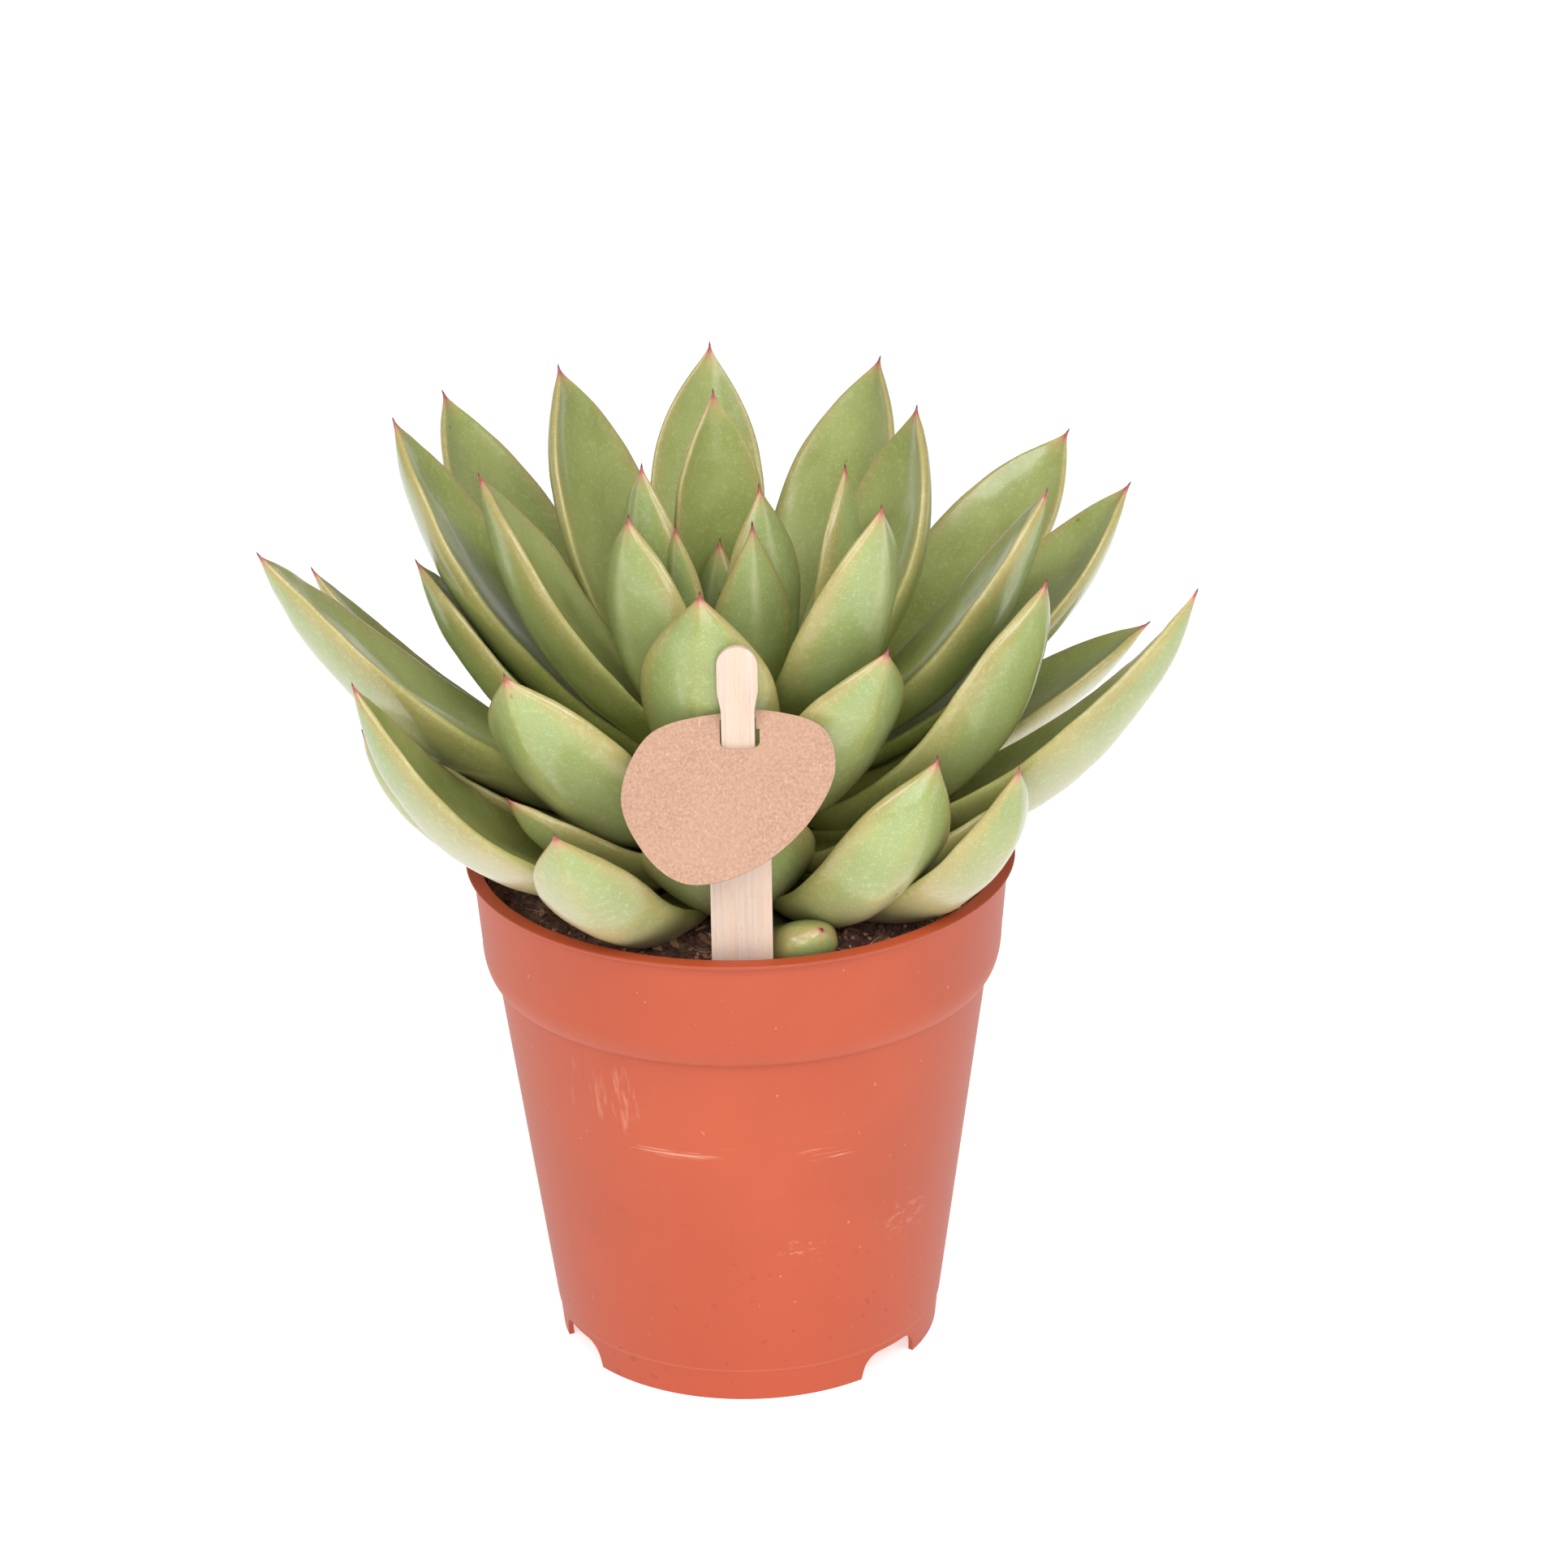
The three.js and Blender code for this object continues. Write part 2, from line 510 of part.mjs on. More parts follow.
// The surface's rise at a place: a few broad swells with smaller crumbs on them.
function soilRise(x, y) {
  const swell = Math.sin(0.13 * x + 1.1) * Math.cos(0.11 * y - 0.4);
  const crumb = Math.sin(0.71 * x + 0.3 * y) * Math.sin(0.63 * y - 0.27 * x + 2);
  return SOIL_LUMP * (0.45 * swell + 0.55 * crumb);
}

function makeSoil() {
  const wall = innerWall(GAP).slice(0, -1);
  const rim = wall.at(-1)[0];
  const surface = [];
  for (let i = 0; i < SOIL_RINGS; i += 1) surface.push([rim * (1 - i / SOIL_RINGS), SOIL_TOP]);
  const profile = [[0, FLOOR_TOP + GAP], ...wall, ...surface, [0, SOIL_TOP]];
  const points = profile.map(([radius, height]) => new THREE.Vector2(radius, height));
  const geometry = new THREE.LatheGeometry(points, SOIL_SIDES).rotateX(Math.PI / 2);
  const vertices = geometry.attributes.position;
  for (let i = 0; i < vertices.count; i += 1) {
    const isSurface = vertices.getZ(i) > SOIL_TOP - 0.01;
    if (isSurface) vertices.setZ(i, SOIL_TOP + soilRise(vertices.getX(i), vertices.getY(i)));
  }
  return solid(geometry);
}

// Assembly

const plant = new THREE.Group();

const pot = makePot();
const stem = stemAndHeart(0);
const stick = makeStick(0);
const seedling = makeSeedling(0);
const fatLeaves = LEAVES.map((leaf, index) => leafSolid(leaf, leafRoot(index), GAP));
const fatStem = stemAndHeart(GAP);
const fatStick = makeStick(GAP);

let soil = makeSoil().subtract(stemCore(GAP)).subtract(fatStick).subtract(makeSeedling(GAP));
for (const low of fatLeaves.slice(0, LEAVES_ON_SOIL)) soil = soil.subtract(low);

plant.add(piece("pot", pot, terracotta));
plant.add(piece("soil", soil, peat));
plant.add(piece("stem_and_heart", stem, stemGreen));

// Each leaf lies against the ones further in, so it is hollowed where they press on it.
LEAVES.forEach((leaf, index) => {
  let made = leafSolid(leaf, leafRoot(index)).subtract(fatStem).subtract(fatStick);
  for (const inner of fatLeaves.slice(index + 1)) made = made.subtract(inner);
  plant.add(piece(`leaf_${String(index + 1).padStart(2, "0")}`, made, leafGreen));
});

plant.add(piece("label_stick", stick, birch));
plant.add(piece("label_card", makeCard(), kraft));
plant.add(piece("seedling", seedling, sproutGreen));

export default plant;
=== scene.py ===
# A potted miranda echeveria: a rosette of thick waxy leaves in a round nursery pot of peat, with a
# bare card tag on a birch stick and one tiny seedling. Metres, +Z up, and -Y is the front.

import math
import random

import bmesh
import bpy
from mathutils import Matrix, Vector, noise


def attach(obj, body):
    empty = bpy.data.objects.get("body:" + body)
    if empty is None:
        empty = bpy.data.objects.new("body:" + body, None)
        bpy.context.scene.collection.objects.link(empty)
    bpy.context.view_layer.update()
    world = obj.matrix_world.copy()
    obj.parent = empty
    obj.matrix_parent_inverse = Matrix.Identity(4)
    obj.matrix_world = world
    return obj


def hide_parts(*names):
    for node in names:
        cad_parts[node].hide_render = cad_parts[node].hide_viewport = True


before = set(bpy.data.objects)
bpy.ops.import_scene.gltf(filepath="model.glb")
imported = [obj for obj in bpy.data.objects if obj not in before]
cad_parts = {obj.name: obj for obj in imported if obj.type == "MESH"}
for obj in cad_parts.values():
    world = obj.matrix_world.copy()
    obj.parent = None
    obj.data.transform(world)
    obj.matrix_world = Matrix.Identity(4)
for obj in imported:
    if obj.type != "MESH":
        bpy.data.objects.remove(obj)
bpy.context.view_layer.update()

# Nursery pot
# An injection-moulded pot of thin terracotta-coloured plastic: a tapered body, a round-shouldered
# collar that the next pot in the stack rests on, and a lip. Notches in the foot and holes in the
# floor let water out. The bench and other pots have left pale rubs and scratches on it.

MM = 0.001
FOOT_RADIUS, FOOT_HEIGHT = 42.2, 7.5
BODY_TOP, BODY_TOP_RADIUS = 87.8, 54.25
COLLAR_BOTTOM, COLLAR_BOTTOM_RADIUS = 96.0, 57.4
COLLAR_TOP, COLLAR_TOP_RADIUS = 113.1, 58.9
LIP_RADIUS, LIP_OUTER_TOP, LIP_INNER_RADIUS = 60.4, 114.1, 57.2
POT_HEIGHT, WALL, EDGE = 114.3, 1.3, 0.3
FLOOR_BOTTOM, FLOOR_TOP = 6.8, 8.6
POT_SIDES = 144
NOTCH_ANGLES = (-63, 48, 172)
NOTCH_WIDTH, NOTCH_HEIGHT, NOTCH_SLANT, NOTCH_CORNER, NOTCH_DEPTH = 18.0, 5.8, 1.4, 3.4, 12.0
DRAINS, DRAIN_CIRCLE, DRAIN_RADIUS = 6, 27.0, 4.0


def colour(red, green, blue):
    """A colour as a picture shows it, 0 to 255, in the linear form that a shader takes."""
    shares = [value / 255 for value in (red, green, blue)]
    return [share / 12.92 if share < 0.04 else ((share + 0.055) / 1.055) ** 2.4 for share in shares] + [1]


class Strand:
    """A socket that takes part in sums: each operator adds its Math node."""

    def __init__(self, finish, socket):
        self.finish, self.socket = finish, socket

    def __add__(self, other):
        return self.finish.sum("ADD", self, other)

    def __sub__(self, other):
        return self.finish.sum("SUBTRACT", self, other)

    def __rsub__(self, other):
        return self.finish.sum("SUBTRACT", other, self)

    def __mul__(self, other):
        return self.finish.sum("MULTIPLY", self, other)

    __radd__ = __add__
    __rmul__ = __mul__


class Finish:
    """The nodes of one material, round its Principled shader."""

    def __init__(self, name, constants):
        self.material = bpy.data.materials.new(name)
        self.material.use_nodes = True
        self.nodes = self.material.node_tree.nodes
        self.links = self.material.node_tree.links
        self.shader = self.nodes["Principled BSDF"]
        for socket, value in constants.items():
            self.shader.inputs[socket].default_value = value

    def node(self, kind, settings, sockets, output=0):
        """Adds a node: its settings first, then a value or a strand for each socket."""
        made = self.nodes.new(kind)
        for name, value in settings.items():
            setattr(made, name, value)
        for name, value in sockets.items():
            if isinstance(value, Strand):
                self.links.new(value.socket, made.inputs[name])
            else:
                made.inputs[name].default_value = value
        return Strand(self, made.outputs[output])

    def sum(self, operation, first, second):
        return self.node("ShaderNodeMath", {"operation": operation}, {0: first, 1: second})

    def place(self, scale=(1, 1, 1), shift=(0, 0, 0)):
        """The piece's own coordinates, stretched and moved."""
        own = self.node("ShaderNodeTexCoord", {}, {}, "Object")
        return self.node("ShaderNodeMapping", {}, {"Vector": own, "Scale": scale, "Location": shift})

    def part(self, place, axis):
        """One of a place's three numbers."""
        return self.node("ShaderNodeSeparateXYZ", {}, {0: place}, axis)

    def mottle(self, place, scale, detail=3.0, roughness=0.5):
        """Cloudy noise from about 0.25 to 0.75."""
        return self.node(
            "ShaderNodeTexNoise", {},
            {"Vector": place, "Scale": scale, "Detail": detail, "Roughness": roughness},
        )

    def written(self, name):
        """A number that the mesh carries at each of its points."""
        return self.node("ShaderNodeAttribute", {"attribute_name": name}, {}, "Fac")

    def grade(self, value, low, high):
        """Eases from 0 to 1 as the value goes from low to high."""
        return self.node(
            "ShaderNodeMapRange", {"interpolation_type": "SMOOTHSTEP"},
            {"Value": value, "From Min": low, "From Max": high, "To Min": 0.0, "To Max": 1.0},
        )

    def tint(self, share, under, over):
        """The colour under, covered by the colour over as far as share says."""
        return self.node("ShaderNodeMix", {"data_type": "RGBA"}, {0: share, 6: under, 7: over}, 2)

    def relief(self, height, strength, depth):
        """A bump whose height runs from 0 to 1 over depth millimetres."""
        bump = {"Height": height, "Strength": strength, "Distance": depth * MM}
        self.feed("Normal", self.node("ShaderNodeBump", {}, bump))

    def feed(self, socket, value):
        self.links.new(value.socket, self.shader.inputs[socket])


def turned(profile, sides):
    """A closed body from a profile of radius and height in millimetres, spun round the pot's axis."""
    body = bmesh.new()
    rail = [body.verts.new((radius * MM, 0, height * MM)) for radius, height in profile]
    edges = [body.edges.new(pair) for pair in zip(rail, rail[1:])]
    bmesh.ops.spin(
        body, geom=rail + edges, cent=(0, 0, 0), axis=(0, 0, 1), angle=math.tau, steps=sides, use_merge=True
    )
    bmesh.ops.remove_doubles(body, verts=body.verts, dist=0.00001 * MM)
    bmesh.ops.recalc_face_normals(body, faces=body.faces)
    return body


def finished(name, body, finish, nodes, crease=40):
    """Turns a bmesh into a piece that stands for its solids and rides on the root."""
    mesh = bpy.data.meshes.new(name)
    body.to_mesh(mesh)
    body.free()
    mesh.shade_smooth()
    mesh.set_sharp_from_angle(angle=math.radians(crease))
    mesh.materials.append(finish.material)
    piece = bpy.data.objects.new(name, mesh)
    bpy.context.collection.objects.link(piece)
    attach(piece, "root")
    if nodes:
        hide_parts(*nodes)
    return piece


def shoulder(inset, steps=10):
    """The collar's round underside, from the groove out to its wall."""
    points = []
    for step in range(steps + 1):
        turn = math.pi / 2 * step / steps
        radius = BODY_TOP_RADIUS + (COLLAR_BOTTOM_RADIUS - BODY_TOP_RADIUS) * math.sin(turn)
        points.append((radius - inset, COLLAR_BOTTOM - (COLLAR_BOTTOM - BODY_TOP) * math.cos(turn)))
    return points


def body_radius(height):
    return FOOT_RADIUS + (BODY_TOP_RADIUS - FOOT_RADIUS) * height / BODY_TOP


def inner_wall(inset):
    bottom = (body_radius(FLOOR_TOP) - WALL - inset, FLOOR_TOP + inset)
    return [bottom, *shoulder(WALL + inset), (LIP_INNER_RADIUS - EDGE - inset, COLLAR_TOP)]


plastic = Finish("terracotta plastic", {"Specular IOR Level": 0.5})
spot = plastic.place()
across, back, height = (plastic.part(spot, axis) for axis in "XYZ")
cloud = plastic.mottle(spot, 28, 4)
grain = plastic.mottle(spot, 900, 2)
skin = plastic.tint(plastic.grade(cloud, 0.3, 0.7), colour(173, 70, 36), colour(181, 76, 41))
skin = plastic.tint(plastic.grade(height, 0.1125, 0.1137) * 0.3, skin, colour(158, 62, 34))
front = plastic.grade(back, -0.02, -0.035)


def rubbed(left, right, low, high, stretch, keep, strength):
    """A patch of pale rubs on the pot's front, broken up along the direction that they run in."""
    wide, tall = (right - left) / 2, (high - low) / 2
    inside = plastic.grade(across, left, left + wide) * plastic.grade(across, right, right - wide)
    inside = inside * plastic.grade(height, low, low + tall) * plastic.grade(height, high, high - tall)
    streaks = plastic.mottle(plastic.place(stretch), 1, 4, 0.65)
    return plastic.grade(streaks + 0.25 * inside, keep + 0.2, keep + 0.34) * inside * strength * front


rubs = rubbed(-0.046, -0.012, 0.055, 0.094, (420, 420, 40), 0.5, 0.4)
rubs = rubs + rubbed(-0.037, 0.008, 0.059, 0.069, (60, 60, 1500), 0.5, 0.7)
rubs = rubs + rubbed(0.004, 0.034, 0.053, 0.076, (70, 70, 1300), 0.56, 0.9)
rubs = rubs + rubbed(-0.004, 0.026, 0.032, 0.046, (500, 500, 900), 0.54, 0.5)
rubs = rubs + rubbed(0.022, 0.048, 0.026, 0.056, (300, 300, 500), 0.52, 0.4)
everywhere = plastic.grade(plastic.mottle(plastic.place((260, 260, 30)), 1, 5, 0.7), 0.66, 0.8) * 0.22
specks = plastic.grade(plastic.mottle(spot, 620, 1), 0.77, 0.8) * 0.5
rubs = rubs + everywhere + specks
skin = plastic.tint(rubs, skin, colour(212, 150, 128))
# painted highlight: a paler band along the foot ledge, where the small step catches the light
ledge_highlight = plastic.grade(height, 0.0068, 0.0074) * plastic.grade(height, 0.0082, 0.0076)
skin = plastic.tint(ledge_highlight * 0.35, skin, colour(208, 120, 94))
dirt = plastic.grade(plastic.mottle(spot, 480, 0), 0.24, 0.21) * plastic.grade(height, 0.06, 0.0)
skin = plastic.tint(dirt * 0.6, skin, colour(120, 52, 36))
skin = plastic.tint(plastic.grade(height, 0.07, 0.0) * 0.45, skin, colour(170, 62, 24))
plastic.feed("Base Color", skin)
plastic.feed("Roughness", 0.4 + 0.12 * cloud + 0.2 * rubs)
plastic.relief(grain * 0.5 + cloud, 0.25, 0.25)

outside = [
    (body_radius(0) - WALL, 0),
    (body_radius(0) - EDGE / 2, 0),
    (body_radius(0), EDGE / 2),
    (body_radius(FOOT_HEIGHT) - EDGE, FOOT_HEIGHT - EDGE),
    (body_radius(FOOT_HEIGHT), FOOT_HEIGHT),
    (body_radius(BODY_TOP / 2), BODY_TOP / 2),
    *shoulder(0),
    (COLLAR_TOP_RADIUS, COLLAR_TOP - EDGE / 2),
    (COLLAR_TOP_RADIUS + EDGE / 2, COLLAR_TOP),
    (LIP_RADIUS - EDGE, COLLAR_TOP + EDGE / 2),
    (LIP_RADIUS, COLLAR_TOP + EDGE * 2),
    (LIP_RADIUS, LIP_OUTER_TOP - EDGE),
    (LIP_RADIUS - EDGE / 3, LIP_OUTER_TOP - EDGE / 3),
    (LIP_RADIUS - EDGE, LIP_OUTER_TOP),
    (LIP_INNER_RADIUS + EDGE * 2, POT_HEIGHT - EDGE / 5),
    (LIP_INNER_RADIUS + EDGE, POT_HEIGHT),
    (LIP_INNER_RADIUS + EDGE / 4, POT_HEIGHT - EDGE / 3),
    (LIP_INNER_RADIUS, POT_HEIGHT - EDGE),
]
under_floor = [(0, FLOOR_BOTTOM), (body_radius(FLOOR_BOTTOM) - WALL, FLOOR_BOTTOM)]
pot_body = turned([*under_floor, *outside, *reversed(inner_wall(0)), (0, FLOOR_TOP)], POT_SIDES)


def hollowed(piece, cutter):
    """Cuts a closed bmesh out of a piece, which keeps the result as its own mesh."""
    mesh = bpy.data.meshes.new("cutter")
    cutter.to_mesh(mesh)
    cutter.free()
    tool = bpy.data.objects.new("cutter", mesh)
    bpy.context.collection.objects.link(tool)
    cut = piece.modifiers.new("cut", "BOOLEAN")
    cut.operation, cut.solver, cut.object = "DIFFERENCE", "EXACT", tool
    bpy.context.view_layer.update()
    whole = piece.evaluated_get(bpy.context.evaluated_depsgraph_get())
    made = bpy.data.meshes.new_from_object(whole)
    piece.modifiers.remove(cut)
    piece.data = made
    bpy.data.objects.remove(tool)


pot_piece = finished("pot_shell", pot_body, plastic, ["pot"], 32)
for angle in NOTCH_ANGLES:
    notch = bmesh.new()
    half, side = NOTCH_WIDTH / 2, NOTCH_WIDTH / 2 - NOTCH_SLANT
    corners = [(-half, -1), (half, -1), (side, NOTCH_HEIGHT), (-side, NOTCH_HEIGHT)]
    arch = [notch.verts.new((x * MM, (NOTCH_DEPTH / 2 - FOOT_RADIUS) * MM, z * MM)) for x, z in corners]
    notch.faces.new(arch)
    bmesh.ops.bevel(
        notch, geom=arch[2:], affect="VERTICES", offset=NOTCH_CORNER * MM, segments=8, profile=0.5,
        material=-1,
    )
    pulled = bmesh.ops.extrude_face_region(notch, geom=list(notch.faces))["geom"]
    ends = [vert for vert in pulled if isinstance(vert, bmesh.types.BMVert)]
    bmesh.ops.translate(notch, verts=ends, vec=(0, -NOTCH_DEPTH * MM, 0))
    round_foot = Matrix.Rotation(math.radians(angle), 3, "Z")
    bmesh.ops.rotate(notch, verts=notch.verts, cent=(0, 0, 0), matrix=round_foot)
    bmesh.ops.recalc_face_normals(notch, faces=notch.faces)
    hollowed(pot_piece, notch)
for number in range(DRAINS):
    drain = bmesh.new()
    turn = math.tau * (number + 0.5) / DRAINS
    centre = Vector((math.cos(turn), math.sin(turn), 0)) * DRAIN_CIRCLE * MM
    centre.z = (FLOOR_BOTTOM + FLOOR_TOP) / 2 * MM
    bmesh.ops.create_cone(
        drain, cap_ends=True, segments=32, radius1=DRAIN_RADIUS * MM, radius2=DRAIN_RADIUS * MM,
        depth=3 * (FLOOR_TOP - FLOOR_BOTTOM) * MM, matrix=Matrix.Translation(centre),
    )
    hollowed(pot_piece, drain)

# Peat
# Dark, damp peat fills the pot to just under the lip. Bits of bark, pale wood chips and thin roots
# and moss fibres lie loose on it, and its top is crumbly.

SOIL_TOP, SOIL_LUMP, GAP = 107.4, 1.1, 0.3
SOIL_SIDES = 150
SOIL_RINGS = 44
BITS, CRUMBS, FIBRES = 420, 1100, 90
HANDFUL = 30  # lumps made at a time, which is quicker than one growing mesh
chance = random.Random(7)


def soil_rise(x, y):
    """How far the peat stands above its mean height, in millimetres: broad swells, lumps and crumbs."""
    swell = math.sin(0.13 * x + 1.1) * math.cos(0.11 * y - 0.4)
    lump = math.sin(0.71 * x + 0.3 * y) * math.sin(0.63 * y - 0.27 * x + 2)
    crumb = noise.noise(Vector((x * 0.45, y * 0.45, 3)))
    return SOIL_LUMP * (0.45 * swell + 0.55 * lump + 0.7 * crumb)


peat = Finish("damp peat", {"Roughness": 0.93, "Specular IOR Level": 0.25})
spot = peat.place()
clods = peat.mottle(spot, 330, 6, 0.7)
earth = peat.tint(peat.grade(clods, 0.42, 0.68), colour(104, 77, 65), colour(162, 124, 104))
earth = peat.tint(peat.grade(peat.mottle(spot, 900, 2), 0.62, 0.72), earth, colour(146, 112, 88))
bit_tone = peat.written("tone")
grainy = 0.75 + 0.5 * peat.mottle(peat.place((300, 300, 900)), 1, 3)
bark = peat.tint(peat.grade(bit_tone * grainy, 0.1, 0.5), colour(118, 85, 68), colour(190, 142, 112))
bark = peat.tint(peat.grade(bit_tone * grainy, 0.5, 0.9), bark, colour(214, 176, 140))
peat.feed("Base Color", peat.tint(peat.grade(bit_tone, 0.01, 0.02), earth, bark))
peat.feed("Roughness", 0.75 + 0.35 * peat.mottle(spot, 500, 3))
peat.relief(peat.mottle(spot, 420, 5, 0.75), 1.0, 0.9)

wall = inner_wall(GAP)[:-1]
rim = wall[-1][0]
surface = [(rim * (1 - ring / SOIL_RINGS), SOIL_TOP) for ring in range(SOIL_RINGS)]
soil_body = turned([(0, FLOOR_TOP + GAP), *wall, *surface, (0, SOIL_TOP)], SOIL_SIDES)
soil_body.verts.layers.float.new("tone")
for vert in soil_body.verts:
    if vert.co.z > (SOIL_TOP - 0.01) * MM:
        vert.co.z += soil_rise(vert.co.x / MM, vert.co.y / MM) * MM
finished("peat_fill", soil_body, peat, ["soil"], 180)


def scattered(reach):
    """A place on the peat, evenly spread, within reach of the pot's axis."""
    far, turn = reach * math.sqrt(chance.random()), math.tau * chance.random()
    x, y = far * math.cos(turn), far * math.sin(turn)
    return Vector((x, y, SOIL_TOP + soil_rise(x, y)))


def crumb(body, is_bark):
    """One lump: a squashed, knocked-about ball of a few faces. Bark is larger and flatter than peat."""
    bit = bmesh.ops.create_icosphere(body, subdivisions=1, radius=0.5 * MM)["verts"]
    if is_bark:
        size = Vector((chance.uniform(1.6, 4.6), chance.uniform(0.8, 2.0), chance.uniform(0.4, 1.0)))
    else:
        size = Vector(chance.uniform(0.6, 1.5) for axis in range(3))
    shade = 0.05 + 0.85 * chance.random() ** (2.6 if is_bark else 3.5)
    bmesh.ops.scale(body, verts=bit, vec=size)
    for vert in bit:
        vert.co += Vector(chance.uniform(-0.12, 0.12) * side for side in size) * MM
        vert[body.verts.layers.float["tone"]] = shade
    turn = Matrix.Rotation(chance.uniform(0, math.tau), 3, "Z")
    lean = Matrix.Rotation(chance.gauss(0, 0.45), 3, "Y")
    bmesh.ops.rotate(body, verts=bit, cent=(0, 0, 0), matrix=turn @ lean)
    bmesh.ops.translate(body, verts=bit, vec=(scattered(rim - 2.5) + Vector((0, 0, 0.25))) * MM)


def fibre(body, phase):
    """One thin curled root or moss fibre, lying down."""
    strand = bmesh.ops.create_uvsphere(body, u_segments=5, v_segments=14, radius=MM)["verts"]
    long, thick, curl = chance.uniform(3, 9), chance.uniform(0.07, 0.16), chance.uniform(-0.35, 0.35)
    shade = chance.uniform(0.45, 0.95)
    bmesh.ops.scale(body, verts=strand, vec=(thick, thick, long))
    for vert in strand:
        step = vert.co.z / long / MM
        vert.co.x += curl * long * (step ** 2 - 0.3) * MM
        vert.co.y += 0.25 * math.sin(step * 3 + phase) * MM
        vert[body.verts.layers.float["tone"]] = shade
    tip_over = Matrix.Rotation(math.pi / 2 + chance.gauss(0, 0.12), 3, "Y")
    turn = Matrix.Rotation(chance.uniform(0, math.tau), 3, "Z") @ tip_over
    bmesh.ops.rotate(body, verts=strand, cent=(0, 0, 0), matrix=turn)
    lie = scattered(rim - 7) + Vector((0, 0, chance.uniform(0.4, 1.2)))
    bmesh.ops.translate(body, verts=strand, vec=lie * MM)


litter = bmesh.new()
litter.verts.layers.float.new("tone")
handful = bpy.data.meshes.new("handful")
for first in range(0, BITS + CRUMBS + FIBRES, HANDFUL):
    body = bmesh.new()
    body.verts.layers.float.new("tone")
    for number in range(first, min(first + HANDFUL, BITS + CRUMBS + FIBRES)):
        if number < BITS + CRUMBS:
            crumb(body, number < BITS)
        else:
            fibre(body, number)
    body.to_mesh(handful)
    body.free()
    litter.from_mesh(handful)
bpy.data.meshes.remove(handful)
finished("bark_and_fibres", litter, peat, [], 30)

# Leaves
# Forty-eight thick, waxy leaves spiral out of the stem, hollowed above and keeled below like the
# hull of a boat. They grow green and paler towards their rims, and each ends in a rosy tip with a short
# dark-red point. Painted light and shade on their skin: a creamy glow where it faces the white table,
# a deeper olive towards the roots, a pale sheen along young keels and fine glints.

STEM_RADIUS, STEM_TOP_RADIUS, STEM_SHOULDER, STEM_TOP = 8.0, 3.0, 104.0, 144.0
LOWEST_ROOT, HIGHEST_ROOT, ROOT_OFFSET = 111.0, 142.0, 0.4
# A leaf's depth is a share of its width. Its cup is a share of the half width, and its crown and its
# belly are shares of the depth. A drop says how fast crown or belly falls towards the rim.
LEAF_DEPTH, LEAF_CUP, LEAF_CROWN, LEAF_BELLY, LEAF_WIDEST = 0.283, 0.24, 0.2, 0.72, 0.62
LEAF_DROPS = 1, 0.8
ROUND_SECTION, ROUND_DROPS = (0.0, 0.5, 0.5), (0.5, 0.5)
ROOT_WIDTH, ROOT_DEPTH = 0.3, 0.4
WIDENING, TIP_FULLNESS, DEEPENING, THINNING = 1.4, 2.4, 1.2, 0.8
KEEL_AT_ROOT, KEEL_AT_TIP = 1.9, 1.02
KEEL_SOFT = 0.07  # how blunt the keel is, as a share of the half width
RIM_ROUNDING, RIM_SHARE = 0.9, 0.45
LEAF_RINGS, LEAF_SPOKES = 58, 48
RING_CROWDING, SPOKE_CROWDING = 1.45, 1.5  # rings stand closer towards the tip, and spokes at the keel
POINT_LENGTH, POINT_THICKNESS, POINT_DEPTH, POINT_TAPER = 1.2, 0.3, 1.6, 0.7
ROUND_POINT, ROUND_TIP_GAP = 0.6, 2.2
TIP_PINCH, PINCH_LENGTH = 0.4, 4.0
EDGE_WAVE, WAVE_LENGTH = 0.02, 9
DENTS = ((0.5, 17, 13, 0), (0.16, 6, 5, 40))  # each kind's depth, length, breadth and place in the noise
DENTED_DEPTH = 4.0  # a thinner leaf has shallower dents
LEAF_NUMBERS = ("across", "along", "from_tip", "upper", "below", "age")
OLDEST, AGEING, YOUNGEST, ROUND_LEAF_AGE = 1.05, 40, 0.05, 0.35
LEAF_NOISE_STEP = 3.7  # how far on in the noise the next leaf's dents begin
